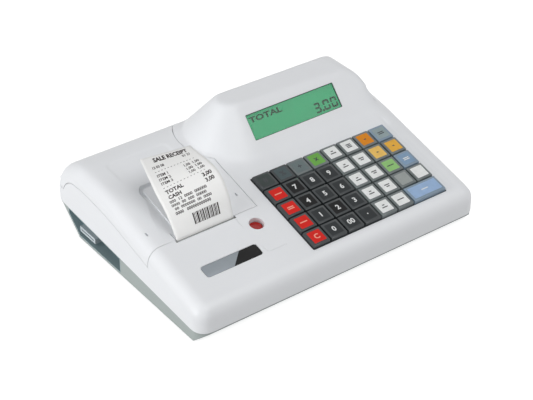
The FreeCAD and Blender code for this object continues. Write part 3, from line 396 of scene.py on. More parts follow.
def from_object(piece: bpy.types.Object) -> bmesh.types.BMesh:
    """A bmesh in millimetres from an object and its modifiers, which is then removed.

    Args:
        piece: The object to read and remove.

    Returns:
        The evaluated mesh in millimetres.
    """
    graph = bpy.context.evaluated_depsgraph_get()
    bm = bmesh.new()
    bm.from_object(piece, graph)
    bmesh.ops.scale(bm, vec=(1 / MM,) * 3, verts=bm.verts)
    data = piece.data
    bpy.data.objects.remove(piece)
    bpy.data.meshes.remove(data)
    return bm


def merge(bm: bmesh.types.BMesh, other: bmesh.types.BMesh) -> None:
    """Add a mesh to another and free it.

    Args:
        bm: The mesh that grows.
        other: The mesh that is added and freed.
    """
    data = bpy.data.meshes.new("part")
    other.to_mesh(data)
    other.free()
    bm.from_mesh(data)
    bpy.data.meshes.remove(data)


class Carve(Enum):
    """How one solid works on another."""

    CUT = "DIFFERENCE"
    KEEP = "INTERSECT"
    JOIN = "UNION"


def carve(
    body: bmesh.types.BMesh, tools: Iterable[bmesh.types.BMesh], how: Carve = Carve.CUT
) -> bmesh.types.BMesh:
    """Work on a closed solid with other closed solids.

    Args:
        body: The solid to work on, which is freed.
        tools: The solids to work with, each freed after use.
        how: Whether each is cut away, kept in common or joined.

    Returns:
        The new solid.
    """
    piece = finish_mesh(body, "carved")
    others = []
    for tool in tools:
        other = finish_mesh(tool, "tool")
        modifier = piece.modifiers.new("carve", "BOOLEAN")
        modifier.operation = how.value
        modifier.solver = "MANIFOLD"
        modifier.object = other
        others.append(other)
    result = from_object(piece)
    for other in others:
        data = other.data
        bpy.data.objects.remove(other)
        bpy.data.meshes.remove(data)
    return result


@dataclass
class Outline:
    """A line of edges in the YZ plane that grows from a start point, then becomes a prism."""

    start: Point
    mesh: bmesh.types.BMesh = field(default_factory=bmesh.new)

    def __post_init__(self) -> None:
        """Put down the first point."""
        self.tip = self.mesh.verts.new((0.0, *self.start))
        self.first = self.tip

    def line_to(self, y: float, z: float) -> "Outline":
        """Draw a straight run to a point and return the outline."""
        grown = bmesh.ops.extrude_vert_indiv(self.mesh, verts=[self.tip])
        self.tip = grown["verts"][0]
        self.tip.co = (0.0, y, z)
        return self

    def arc(self, centre: Point, degrees: float, steps: int = 10) -> "Outline":
        """Draw an arc about a centre.

        Args:
            centre: The arc's centre.
            degrees: How far it turns. A positive turn goes from Y towards Z.
            steps: The number of runs.

        Returns:
            The outline.
        """
        turned = bmesh.ops.spin(
            self.mesh, geom=[self.tip], cent=(0.0, *centre), axis=(1.0, 0.0, 0.0),
            angle=math.radians(degrees), steps=steps,
        )
        self.tip = next(g for g in turned["geom_last"] if isinstance(g, bmesh.types.BMVert))
        return self

    def prism(self, left: float, right: float) -> bmesh.types.BMesh:
        """Close the outline and draw it along X.

        Args:
            left: Where the prism starts.
            right: Where it ends.

        Returns:
            The closed solid.
        """
        bm = self.mesh
        bm.edges.new((self.tip, self.first))
        made = bmesh.ops.contextual_create(bm, geom=bm.edges[:])
        bmesh.ops.translate(bm, vec=(left, 0, 0), verts=bm.verts)
        grown = bmesh.ops.extrude_face_region(bm, geom=made["faces"], use_keep_orig=True)
        moved = [g for g in grown["geom"] if isinstance(g, bmesh.types.BMVert)]
        bmesh.ops.translate(bm, vec=(right - left, 0, 0), verts=moved)
        bmesh.ops.recalc_face_normals(bm, faces=bm.faces)
        return bm


def slab(low: Sequence[float], high: Sequence[float]) -> bmesh.types.BMesh:
    """A box between two corners, as a working solid."""
    bm = bmesh.new()
    size = [h - l for l, h in zip(low, high)]
    middle = [(h + l) / 2 for l, h in zip(low, high)]
    bmesh.ops.create_cube(bm, size=1.0)
    bmesh.ops.scale(bm, vec=size, verts=bm.verts)
    bmesh.ops.translate(bm, vec=middle, verts=bm.verts)
    return bm


def drum(
    radius: float, centre: Sequence[float], low: float, high: float, steps: int = 64
) -> bmesh.types.BMesh:
    """An upright round working solid.

    Args:
        radius: Its radius.
        centre: Its place in plan.
        low: Its lowest height.
        high: Its highest height.
        steps: Sides round it.

    Returns:
        The closed solid.
    """
    bm = bmesh.new()
    bmesh.ops.create_cone(
        bm, cap_ends=True, segments=steps, radius1=radius, radius2=radius, depth=high - low
    )
    bmesh.ops.translate(bm, vec=(centre[0], centre[1], (low + high) / 2), verts=bm.verts)
    return bm


def soften(bm: bmesh.types.BMesh, edges: list, radius: float, steps: int) -> None:
    """Round some edges of a solid in a number of steps."""
    bmesh.ops.bevel(
        bm, geom=edges, offset=radius, segments=steps, profile=0.5, affect="EDGES", material=-1
    )


def round_upright_edges(
    bm: bmesh.types.BMesh, radius: float, steps: int = 6
) -> bmesh.types.BMesh:
    """Round the upright edges of a box-like solid and return it."""
    upright = [
        e for e in bm.edges
        if abs(e.verts[0].co.x - e.verts[1].co.x) < 1e-4
        and abs(e.verts[0].co.y - e.verts[1].co.y) < 1e-4
    ]
    soften(bm, upright, radius, steps)
    return bm


@dataclass(frozen=True)
class Deck:
    """The case's sloping top: its slope, crest, crown and rear bend."""

    width: float = 304.0
    depth: float = 230.0
    tilt: float = 14.0
    crest_y: float = 36.5
    crown_height: float = 73.3
    rear_radius: float = 40.0
    front_radius: float = 13.5
    edge_radius: float = 12.5
    edge_steps: int = 7
    seam_front: float = 12.1
    seam_tilt: float = 3.9

    @property
    def slope(self) -> float:
        """The deck's rise over run."""
        return math.tan(math.radians(self.tilt))

    @property
    def mid_height(self) -> float:
        """The deck's height at the middle of the depth."""
        return self.crown_height - self.crest_y * self.slope

    @property
    def bends(self) -> tuple[Point, Point, float]:
        """The centres of the rear bend and of the crown, and the crown's radius."""
        rear = (self.depth / 2 - self.rear_radius, self.crown_height - self.rear_radius)
        crown_radius = (rear[0] - self.crest_y) / math.tan(math.radians(self.tilt / 2))
        return rear, (rear[0], self.crown_height - crown_radius), crown_radius

    @property
    def placement(self) -> Matrix:
        """The placement that lays a level shape on the deck."""
        lift = Matrix.Translation((0.0, 0.0, self.mid_height))
        return lift @ Matrix.Rotation(math.radians(self.tilt), 4, "X")

    def height(self, y: float) -> float:
        """The deck's height at a depth, in front of the crest."""
        return self.mid_height + y * self.slope

    def seam_height(self, y: float) -> float:
        """The height of the seam between tray and case at a depth."""
        return self.seam_front + (y + self.depth / 2) * math.tan(math.radians(self.seam_tilt))

    def laid(self, bm: bmesh.types.BMesh) -> bmesh.types.BMesh:
        """A level shape laid on the deck."""
        bmesh.ops.transform(bm, matrix=self.placement, verts=bm.verts)
        return bm

    def block(self, inset: float, floor: float) -> bmesh.types.BMesh:
        """The case without its hood, drawn in by an inset.

        Args:
            inset: How far every face is drawn in.
            floor: The height of its flat underside.

        Returns:
            The closed solid, its side edges rounded.
        """
        half = self.depth / 2
        front_y = -half + self.front_radius
        front_drop = self.front_radius / math.cos(math.radians(self.tilt))
        front = (front_y, self.height(front_y) - front_drop)
        rear, crown, crown_radius = self.bends
        spot = math.radians(90 + self.tilt)
        reach = crown_radius - inset
        outline = Outline((-half + inset, floor))
        outline.line_to(-half + inset, front[1])
        outline.arc(front, -(90 - self.tilt), 8)
        outline.line_to(crown[0] + reach * math.cos(spot), crown[1] + reach * math.sin(spot))
        outline.arc(crown, -self.tilt, 8)
        outline.arc(rear, -90, 14)
        outline.line_to(half - inset, floor)
        side = self.width / 2 - inset
        bm = outline.prism(-side, side)
        ends = [
            e for e in bm.edges
            if abs(abs(e.verts[0].co.x) - side) < 1e-3
            and abs(e.verts[0].co.x - e.verts[1].co.x) < 1e-3
            and max(v.co.z for v in e.verts) > floor + 1e-3
        ]
        soften(bm, ends, self.edge_radius - inset, self.edge_steps)
        return bm

    def space_above(
        self, drop: float, front_y: float, rear_height: float, right: float
    ) -> bmesh.types.BMesh:
        """The space above the deck less a drop, as the working solid of the paper lid.

        Args:
            drop: How far below the deck it starts.
            front_y: Its front plane.
            rear_height: The height at which it ends on the rear bend.
            right: Its right plane.

        Returns:
            The closed solid.
        """
        half = self.depth / 2
        rear, crown, crown_radius = self.bends
        spot = math.radians(90 + self.tilt)
        reach = crown_radius - drop
        bend = math.degrees(math.asin((rear_height - rear[1]) / (self.rear_radius - drop)))
        start_z = self.height(front_y) - drop / math.cos(math.radians(self.tilt))
        outline = Outline((front_y, start_z))
        outline.line_to(crown[0] + reach * math.cos(spot), crown[1] + reach * math.sin(spot))
        outline.arc(crown, -self.tilt, 12)
        outline.arc(rear, bend - 90, 14)
        outline.line_to(half + 20, rear_height)
        outline.line_to(half + 20, FAR)
        outline.line_to(front_y, FAR)
        return outline.prism(-self.width, right)


@dataclass(frozen=True)
class Hood:
    """The display hood: a ridge with a falling top, a leaning right flank and a cone left."""

    deck: Deck
    axis_y: float = 52.3
    left_x: float = -3.5
    half_depth: float = 49.0
    face_slope: float = 48.0
    top_height: float = 105.5
    top_fall: float = 1.72
    flank_x: float = 142.2
    flank_lean: float = 21.3
    corner_radius: float = 22.0
    rim_bevel: float = 3.3
    floor: float = 30.8

    @property
    def foot(self) -> Point:
        """The foot of the front face, as a depth and a height."""
        y = self.axis_y - self.half_depth
        return (y, self.deck.height(y))

    def placement(self, rear: bool = False) -> Matrix:
        """The placement that lays a level shape on the hood's front face or its rear one."""
        lean = Matrix.Rotation(math.radians(self.face_slope), 4, "X")
        front = Matrix.Translation((0.0, *self.foot)) @ lean
        if not rear:
            return front
        turn = Matrix.Translation((0.0, self.axis_y, 0.0)) @ Matrix.Scale(-1, 4, (0, 1, 0))
        return turn @ Matrix.Translation((0.0, -self.axis_y, 0.0)) @ front

    def corner(self) -> Point:
        """The centre of the arc between the top and the flank, as an X and a height."""
        fall, lean = math.radians(self.top_fall), math.radians(self.flank_lean)
        top = self.top_height * math.cos(fall) - self.corner_radius
        flank = self.flank_x * math.cos(lean) + self.foot[1] * math.sin(lean) - self.corner_radius
        spread = math.cos(fall + lean)
        return (
            (flank * math.cos(fall) - top * math.sin(lean)) / spread,
            (top * math.cos(lean) - flank * math.sin(fall)) / spread,
        )

    def limits(self, inset: float) -> bmesh.types.BMesh:
        """The space under the falling top and left of the flank, as a working solid."""
        x, z = self.corner()
        radius = self.corner_radius - inset
        fall, lean = math.radians(self.top_fall), math.radians(self.flank_lean)
        start = (x + radius * math.sin(fall), z + radius * math.cos(fall))
        outline = Outline((-FAR, start[1] + (start[0] + FAR) * math.tan(fall)))
        outline.line_to(*start)
        outline.arc((x, z), self.top_fall + self.flank_lean - 90, 14)
        end = outline.tip.co.copy()
        outline.line_to(end.y + end.z * math.tan(lean), 0.0)
        outline.line_to(-FAR, 0.0)
        bm = outline.prism(-FAR, FAR)
        swap = Matrix(((0, 1, 0, 0), (1, 0, 0, 0), (0, 0, 1, 0), (0, 0, 0, 1)))
        bmesh.ops.transform(bm, matrix=swap, verts=bm.verts)
        bmesh.ops.reverse_faces(bm, faces=bm.faces)
        return bm

    def peak(self, inset: float) -> bmesh.types.BMesh:
        """The sharp ridge and the cone that ends it on the left.

        Args:
            inset: How far their faces are drawn in.

        Returns:
            The closed solid.
        """
        slope = math.radians(self.face_slope)
        apex = self.foot[1] + self.half_depth * math.tan(slope) - inset / math.cos(slope)
        reach = (apex - self.floor) / math.tan(slope)
        outline = Outline((self.axis_y - reach, self.floor))
        outline.line_to(self.axis_y, apex)
        outline.line_to(self.axis_y + reach, self.floor)
        ridge = outline.prism(self.left_x, self.deck.width)
        cone = bmesh.new()
        bmesh.ops.create_cone(
            cone, cap_ends=True, segments=96, radius1=reach, radius2=0.0, depth=apex - self.floor
        )
        bmesh.ops.remove_doubles(cone, verts=cone.verts, dist=0.01)
        place = (self.left_x, self.axis_y, (apex + self.floor) / 2)
        bmesh.ops.translate(cone, vec=place, verts=cone.verts)
        return carve(ridge, [cone], Carve.JOIN)

    @staticmethod
    def on_limit(face: bmesh.types.BMFace) -> bool:
        """Whether a face belongs to the top, the corner or the flank."""
        return abs(face.normal.y) < 0.01 and face.normal.x > -0.1 and face.normal.z > 0.2

    def solid(self, inset: float) -> bmesh.types.BMesh:
        """The whole hood inside the case's rounded plan, its outer rim softened.

        Args:
            inset: How far every face is drawn in. The rim stays sharp when it is drawn in.

        Returns:
            The closed solid.
        """
        bm = carve(self.peak(inset), [self.limits(inset)], Carve.KEEP)
        if not inset:
            bmesh.ops.dissolve_limit(
                bm, angle_limit=math.radians(0.5), verts=bm.verts, edges=bm.edges
            )
            bm.normal_update()
            rim = [
                e for e in bm.edges
                if len(e.link_faces) == 2 and sum(map(self.on_limit, e.link_faces)) == 1
                and max(v.co.z for v in e.verts) > self.floor + 1
            ]
            soften(bm, rim, self.rim_bevel, 4)
        half = (self.deck.width / 2 - inset, self.deck.depth / 2 - inset)
        plan = slab((-half[0], -half[1], 0), (half[0], half[1], FAR))
        round_upright_edges(plan, self.deck.edge_radius - inset, self.deck.edge_steps)
        return carve(bm, [plan], Carve.KEEP)


def ease(low: float, high: float, value: float) -> float:
    """Rise smoothly from 0 at a low value to 1 at a high one."""
    t = min(1.0, max(0.0, (value - low) / (high - low)))
    return t * t * (3 - 2 * t)


@dataclass(frozen=True)
class Form:
    """The white case's outside as one soft skin, from which shell and lid are cut."""

    deck: Deck
    hood: Hood
    floor: float = 4.0
    voxel: float = 1.5
    even_passes: int = 4
    foot_reach: float = 15.0
    foot_passes: int = 60
    foot_side: float = 6.0
    foot_rear: float = 20.0
    edge_reach: float = 7.0
    edge_passes: int = 22
    cone_reach: float = 40.0
    upward: float = 0.3
    valley_x: float = 131.0
    valley_half: float = 3.6
    valley_depth: float = 0.75
    valley_front: Point = (-108.0, -98.0)
    valley_rear: Point = (-8.0, 2.0)
    panel_low: Point = (-125.5, 10.0)
    panel_high: Point = (-63.5, 67.7)
    panel_corner: float = 6.0
    panel_depth: float = 0.6
    panel_rim: float = 1.2
    panel_fade: Point = (30.0, 50.0)

    def skin(self) -> bmesh.types.BMesh:
        """Melt case and hood into one skin with soft feet and edges.

        Returns:
            The closed solid, in even small faces.
        """
        whole = self.deck.block(0.0, self.floor)
        merge(whole, self.hood.solid(0.0))
        piece = finish_mesh(whole, "form")
        melt = piece.modifiers.new("melt", "REMESH")
        melt.mode = "VOXEL"
        melt.voxel_size = self.voxel * MM
        bm = from_object(piece)
        self.relax(bm, bm.verts[:], self.even_passes)
        self.relax(bm, [v for v in bm.verts if self.near_foot(v.co)], self.foot_passes)
        self.relax(bm, [v for v in bm.verts if self.near_edge(v.co)], self.edge_passes)
        bm.normal_update()
        for vert in bm.verts:
            if vert.normal.z > self.upward:
                vert.co.z -= self.valley(vert.co) + self.panel(vert.co)
        return bm

    @staticmethod
    def relax(bm: bmesh.types.BMesh, verts: list, passes: int) -> None:
        """Even out some of a mesh's points.

        Args:
            bm: The mesh.
            verts: The points that may move.
            passes: How often.
        """
        for _ in range(passes):
            bmesh.ops.smooth_vert(
                bm, verts=verts, factor=0.5, use_axis_x=True, use_axis_y=True, use_axis_z=True
            )

    def valley(self, spot: Vector) -> float:
        """The depth of the soft valley along the keypad's right side."""
        across = abs(spot.x - self.valley_x) / self.valley_half
        if across > 1:
            return 0.0
        along = ease(*self.valley_front, spot.y) * (1 - ease(*self.valley_rear, spot.y))
        return self.valley_depth * (1 + math.cos(math.pi * across)) / 2 * along

    def panel(self, spot: Vector) -> float:
        """The depth of the shallow panel pressed into the paper lid's rear part."""
        low, high = self.panel_low, self.panel_high
        out = [
            abs(s - (l + h) / 2) - (h - l) / 2 + self.panel_corner
            for s, l, h in zip(spot, low, high)
        ]
        edge = math.hypot(max(out[0], 0), max(out[1], 0)) + min(max(out), 0) - self.panel_corner
        inside = 1 - ease(-self.panel_rim, self.panel_rim, edge)
        return self.panel_depth * inside * ease(*self.panel_fade, spot.y)

    def above_deck(self, spot: Vector) -> float:
        """How far a point is above the deck or its crown."""
        return spot.z - min(self.deck.height(spot.y), self.deck.crown_height)

    def above_face(self, spot: Vector) -> float:
        """How far a point is outside the hood's front face or its cone."""
        slope = math.radians(self.hood.face_slope)
        z = self.hood.foot[1]
        out = -(spot.y - self.hood.axis_y)
        if spot.x < self.hood.left_x:
            out = math.hypot(spot.x - self.hood.left_x, spot.y - self.hood.axis_y)
        return (out - self.hood.half_depth) * math.sin(slope) + (spot.z - z) * math.cos(slope)

    def near_foot(self, spot: Vector) -> bool:
        """Whether a point lies where the hood's front and left foot meet the deck."""
        right, rear = self.deck.width / 2 - self.foot_side, self.hood.axis_y - self.foot_rear
        if spot.x > right or spot.y > rear:
            return False
        return max(abs(self.above_deck(spot)), abs(self.above_face(spot))) < self.foot_reach

    def near_edge(self, spot: Vector) -> bool:
        """Whether a point lies at the right flank's foot or the hood's rear foot."""
        lean = math.radians(self.hood.flank_lean)
        out, up = spot.x - self.hood.flank_x, spot.z - self.hood.foot[1]
        flank = out * math.cos(lean) + up * math.sin(lean)
        if abs(flank) < self.edge_reach and abs(self.above_deck(spot)) < self.edge_reach:
            return True
        back = self.deck.depth / 2 - self.hood.axis_y - self.hood.half_depth
        height = self.hood.foot[1] - back * math.tan(math.radians(self.hood.face_slope))
        near_rear = abs(spot.y - self.deck.depth / 2) < self.edge_reach
        near_height = abs(spot.z - height) < 2 * self.edge_reach
        return near_rear and near_height and spot.x > self.hood.left_x - self.cone_reach


@dataclass(frozen=True)
class PaperLid:
    """The lid over the paper roll, and the space that it fills in the case."""

    deck: Deck
    hood: Hood
    right_x: float = -39.8
    front_y: float = -39.7
    skirt: float = 15.5
    rear_height: float = 43.0
    scoop_y: float = 56.0
    scoop_radius: float = 49.0
    gap: float = 0.4
    wall: float = 2.5
    slot_left: float = -124.45
    slot_right: float = -63.15
    slot_depth: float = 3.2
    slot_floor: float = 38.0
    guard_gap: float = 0.1
    guard_depth: float = 1.5
    guard_sinks: Point = (0.5, 1.6)
    recess_sink: float = 3.8
    recess_rear: float = 27.0
    recess_front: float = -48.0
    recess_line: tuple[Point, ...] = (
        (-116.2, 27.0), (-119.8, 23.8), (-121.9, 18.9), (-122.6, 9.0), (-126.3, 2.2),
        (-131.0, -10.0), (-132.9, -20.9), (-135.2, -35.4), (-136.5, -40.9),
    )
    recess_left: float = -140.0
    recess_skin: float = 0.25
    rear_wall: float = 1.4
    trough_wall: float = 3.0
    trough_start: Point = (9.0, 20.0)
    scoop_wall: float = 9.0
    scoop_start: Point = (-4.0, 14.0)
    scoop_share: float = 0.42
    mouth_share: float = 0.5
    mouth_start: Point = (-42.0, -24.0)
    platform_left: float = -117.2
    platform_rear: float = 22.2
    platform_corner: float = 5.0
    notch_left: float = -123.3
    notch_width: float = 0.6
    notch_rear: float = -32.5
    pips: tuple[Point, ...] = ((-141.6, -24.3), (-47.7, -21.4))
    pip_half: Point = (0.8, 1.9)
    pip_depth: float = 2.0
    pip_corner: float = 0.7
    backing_low: tuple[float, float, float] = (-138.0, -60.0, -4.6)
    backing_rear: float = 29.0
    hinge: Point = (110.0, 44.0)
    groove_height: float = 3.0
    ear_foot: float = 33.3
    ear_inset: float = 2.1
    ear_notch: float = 3.3
    barrel_radius: float = 3.6
    pin_radius: float = 1.5
    swing_gap: float = 0.7
    ear_spans: tuple[Point, ...] = ((-146.0, -142.0), (-52.0, -48.0))
    barrel_spans: tuple[Point, ...] = ((-141.5, -129.5), (-64.5, -52.5))
    platen_ear: tuple[Point, Point] = ((-37.0, 41.0), (-30.0, 62.0))
    platen_ear_lefts: tuple[float, ...] = (-129.85, -60.25)

    def space(self, gap: float) -> bmesh.types.BMesh:
        """The lid's space, drawn larger by a gap.

        Args:
            gap: The gap on every side.

        Returns:
            The closed working solid.
        """
        space = self.deck.space_above(
            self.skirt + gap, self.front_y - gap, self.rear_height - gap, self.right_x + gap
        )
        scoop = drum(self.scoop_radius - gap, (self.hood.left_x, self.scoop_y), -10, FAR + 10, 96)
        return carve(space, [scoop])

    def slot(self) -> bmesh.types.BMesh:
        """The paper slot in the case, as a working solid."""
        front = self.front_y - self.slot_depth
        return slab((self.slot_left, front, self.slot_floor), (self.slot_right, self.front_y, 90.0))

    def bar(self, radius: float, left: float, right: float, steps: int = 32) -> bmesh.types.BMesh:
        """A round bar on the hinge's axis."""
        bm = drum(radius, (0, 0), left, right, steps)
        turn = Matrix.Translation((0, *self.hinge)) @ Matrix.Rotation(math.radians(90), 4, "Y")
        bmesh.ops.transform(bm, matrix=turn, verts=bm.verts)
        return bm

    def hinge_groove(self) -> bmesh.types.BMesh:
        """The groove in the case's rear wall in which the hinge turns."""
        swing = self.barrel_radius + self.swing_gap
        low = (-self.deck.width, self.hinge[0] - swing, self.rear_height - self.groove_height)
        high = (self.right_x + self.gap, self.deck.depth, self.rear_height)
        return carve(slab(low, high), [self.bar(swing, low[0], high[0])], Carve.JOIN)

    def case_ears(self) -> list[bmesh.types.BMesh]:
        """The two ears on the case that hold the hinge pins."""
        ears = []
        for left, right in self.ear_spans:
            foot = slab(
                (left, self.hinge[0] - self.barrel_radius, self.ear_foot),
                (right, self.deck.depth / 2 - self.ear_inset, self.hinge[1]),
            )
            ear = carve(foot, [self.bar(self.barrel_radius, left, right)], Carve.JOIN)
            ears.append(carve(ear, [self.bar(self.pin_radius, left - 1, right + 1)]))
        return ears

    def recess_edge(self, v: float) -> float:
        """The recess's left edge at a depth on the level deck."""
        spots = self.recess_line
        for (x1, v1), (x2, v2) in zip(spots, spots[1:]):
            if v >= v2:
                return x1 + (x2 - x1) * min(1.0, (v1 - v) / (v1 - v2))
        return spots[-1][0]

    def recess_depth(self, x: float, v: float) -> float:
        """How deep the paper recess is at a place on the level deck."""
        ramp = self.trough_wall + self.scoop_wall * (1 - ease(*self.scoop_start, v))
        across = ease(0.0, ramp, x - self.recess_edge(v))
        along = 1 - ease(self.recess_rear - self.rear_wall, self.recess_rear, v)
        front = self.mouth_share + (1 - self.mouth_share) * ease(*self.mouth_start, v)
        trough = self.scoop_share + (1 - self.scoop_share) * ease(*self.trough_start, v)
        return self.recess_sink * across * along * front * trough

    def recess(self) -> list[bmesh.types.BMesh]:
        """The paper recess as working solids: trough and scoop round a platform, notch and pips."""
        pocket = bmesh.new()
        bmesh.ops.create_grid(pocket, x_segments=80, y_segments=76, size=0.5)
        low = (self.recess_left, self.recess_front)
        high = (self.slot_right, self.recess_rear + 1.0)
        skin = self.recess_skin
        for vert in pocket.verts:
            x = low[0] + (high[0] - low[0]) * (vert.co.x + 0.5)
            v = low[1] + (high[1] - low[1]) * (vert.co.y + 0.5)
            vert.co = (x, v, skin - (1 + skin / self.recess_sink) * self.recess_depth(x, v))
        grown = bmesh.ops.extrude_face_region(pocket, geom=pocket.faces[:], use_keep_orig=True)
        for made in grown["geom"]:
            if isinstance(made, bmesh.types.BMVert):
                made.co.z = 15.0
        bmesh.ops.recalc_face_normals(pocket, faces=pocket.faces)
        platform = slab(
            (self.platform_left, -80.0, -30.0), (self.slot_right + 10, self.platform_rear, 30.0)
        )
        pocket = carve(pocket, [round_upright_edges(platform, self.platform_corner, 8)])
        notch = slab(
            (self.notch_left, -60.0, -20.0),
            (self.notch_left + self.notch_width, self.notch_rear, 20.0),
        )
        cuts = [pocket, notch]
        wide, long = self.pip_half
        for x, v in self.pips:
            pip = slab((x - wide, v - long, -self.pip_depth), (x + wide, v + long, 5.0))
            cuts.append(round_upright_edges(pip, self.pip_corner, 3))
        return [self.deck.laid(cut) for cut in cuts]

    def slot_guard(self) -> bpy.types.Object:
        """The dark cutter guard in the slot, in front of the paper."""
        gap = self.guard_gap
        front = self.front_y - self.slot_depth + gap
        space = slab(
            (self.slot_left + gap, front, self.slot_floor + 1.0),
            (self.slot_right - gap, front + self.guard_depth, 90.0),
        )
        top, bottom = self.guard_sinks
        guard = carve(space, [self.deck.block(top, 0.0)], Carve.KEEP)
        guard = carve(guard, [self.deck.block(bottom, 0.0)])
        made = dress(finish_mesh(guard, "slot_cutter_guard"), GUARD_OLIVE)
        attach(made, "case")
        return made

    def build(self, skin: bmesh.types.BMesh) -> bpy.types.Object:
        """Cut the lid out of the skin.

        Args:
            skin: The form's skin, which is kept.

        Returns:
            The finished lid.
        """
        deck = self.deck
        hollow = deck.block(self.wall, 0.0)
        backing = slab(self.backing_low, (self.slot_right + self.wall, self.backing_rear, 20.0))
        hollow = carve(hollow, [deck.laid(backing)])
        lid = carve(skin.copy(), [self.space(0.0)], Carve.KEEP)
        lid = carve(lid, [hollow])
        (front, bottom), (rear, top) = self.platen_ear
        ears = []
        for left in self.platen_ear_lefts:
            ear = slab((left, front, bottom), (left + self.wall, rear, top))
            ears.append(carve(ear, [deck.block(1.0, 0.0)], Carve.KEEP))
        lid = carve(lid, ears, Carve.JOIN)
        lid = carve(lid, self.recess())
        swing = self.barrel_radius + self.swing_gap
        cuts = []
        for left, right in self.ear_spans:
            cuts.append(self.bar(swing, left - self.gap, right + self.gap))
            cuts.append(slab(
                (left - self.gap, self.hinge[0], 0),
                (right + self.gap, FAR, self.hinge[1] + self.ear_notch),
            ))
        lid = carve(lid, cuts)
        barrels = [self.bar(self.barrel_radius, *span) for span in self.barrel_spans]
        bore = self.pin_radius + 0.05
        lid = carve(lid, barrels, Carve.JOIN)
        lid = carve(lid, [self.bar(bore, left - 1, right + 1) for left, right in self.barrel_spans])
        made = dress(finish_mesh(lid, "paper_lid_moulding"), WHITE_SHELL)
        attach(made, "lid")
        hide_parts("paper_lid")
        return made


@dataclass(frozen=True)
class Lamp:
    """A square soft lamp: its power in watts, its side and its place in metres."""

    name: str
    power: float
    size: float
    place: tuple[float, float, float]

    def hang(self, target: Sequence[float]) -> None:
        """Hang the lamp so that it faces a target."""
        data = bpy.data.lights.new(self.name, "AREA")
        data.energy = self.power
        data.size = self.size
        made = bpy.data.objects.new(self.name, data)
        made.location = self.place
        aim = Vector(target) - Vector(self.place)
        made.rotation_euler = aim.to_track_quat("-Z", "Y").to_euler()
        bpy.context.scene.collection.objects.link(made)


@dataclass(frozen=True)
class Studio:
    """Camera, floor and soft light, set to the photograph's view, in metres and degrees."""

    camera_place: tuple[float, float, float] = (-0.6774, -0.9135, 0.8035)
    camera_turn: tuple[float, float, float] = (55.51, 0.0, -36.58)
    lens: float = 103.1
    floor_size: float = 6.0
    floor_colour: str = "#C8C8C8"
    floor_white: float = 0.8
    sky: float = 0.33
    target: tuple[float, float, float] = (0.0, 0.0, 0.05)
    lamps: tuple[Lamp, ...] = (
        Lamp("front_softbox", 18.5, 1.4, (0.35, -1.2, 1.8)),
        Lamp("left_softbox", 5.0, 1.2, (-1.5, 0.3, 1.3)),
        Lamp("low_left_lamp", 18.0, 0.9, (-1.9, 0.1, 0.3)),
    )

    def camera(self) -> None:
        """Place the camera."""
        data = bpy.data.cameras.new("camera")
        data.lens = self.lens
        data.sensor_width = 36.0
        data.clip_end = 20.0
        made = bpy.data.objects.new("camera", data)
        made.location = self.camera_place
        made.rotation_euler = [math.radians(a) for a in self.camera_turn]
        bpy.context.scene.collection.objects.link(made)
        bpy.context.scene.camera = made

    @staticmethod
    def seen(tree: bpy.types.NodeTree) -> bpy.types.NodeSocket:
        """A value of 1 for what the camera sees, also in gloss or glass, and 0 for light."""
        path = add_node(tree, "ShaderNodeLightPath")
        value = path.outputs["Is Camera Ray"]
        for kind in ("Is Glossy Ray", "Is Transmission Ray"):
            value = add_node(
                tree, "ShaderNodeMath", {"operation": "MAXIMUM"}, {0: value, 1: path.outputs[kind]}
            ).outputs["Value"]
        return value

    def floor(self) -> None:
        """Lay the pale floor, which keeps the register's shadow."""
        bm = bmesh.new()
        bmesh.ops.create_grid(bm, x_segments=1, y_segments=1, size=self.floor_size / 2 / MM)
        made = finish_mesh(bm, "studio_floor")
        material = bpy.data.materials.new("white_sweep")
        material.use_nodes = True
        tree = material.node_tree
        tree.nodes.clear()
        output = add_node(tree, "ShaderNodeOutputMaterial")
        paper = add_node(tree, "ShaderNodeBsdfDiffuse", {"Color": linear(self.floor_colour)})
        level = add_node(
            tree, "ShaderNodeMath", {"operation": "MULTIPLY", 1: self.floor_white},
            {0: self.seen(tree)},
        )
        glow = add_node(tree, "ShaderNodeEmission", links={"Strength": level.outputs["Value"]})
        both = add_node(
            tree, "ShaderNodeAddShader",
            links={0: paper.outputs["BSDF"], 1: glow.outputs["Emission"]},
        )
        tree.links.new(both.outputs["Shader"], output.inputs["Surface"])
        made.data.materials.append(material)

    def sky_light(self) -> None:
        """Light everything evenly, with a white backdrop for the camera and for reflections."""
        world = bpy.data.worlds.new("soft_sky")
        bpy.context.scene.world = world
        world.use_nodes = True
        tree = world.node_tree
        tree.nodes.clear()
        soft = add_node(tree, "ShaderNodeBackground", {"Color": (1, 1, 1, 1), "Strength": self.sky})
        white = add_node(tree, "ShaderNodeBackground", {"Color": (1, 1, 1, 1), "Strength": 1.0})
        mix = add_node(tree, "ShaderNodeMixShader", links={
            0: self.seen(tree),
            1: soft.outputs["Background"],
            2: white.outputs["Background"],
        })
        output = add_node(tree, "ShaderNodeOutputWorld")
        tree.links.new(mix.outputs["Shader"], output.inputs["Surface"])

    def build(self) -> None:
        """Set up the whole studio."""
        self.camera()
        self.floor()
        self.sky_light()
        for lamp in self.lamps:
            lamp.hang(self.target)
        bpy.context.scene.view_settings.view_transform = "Standard"


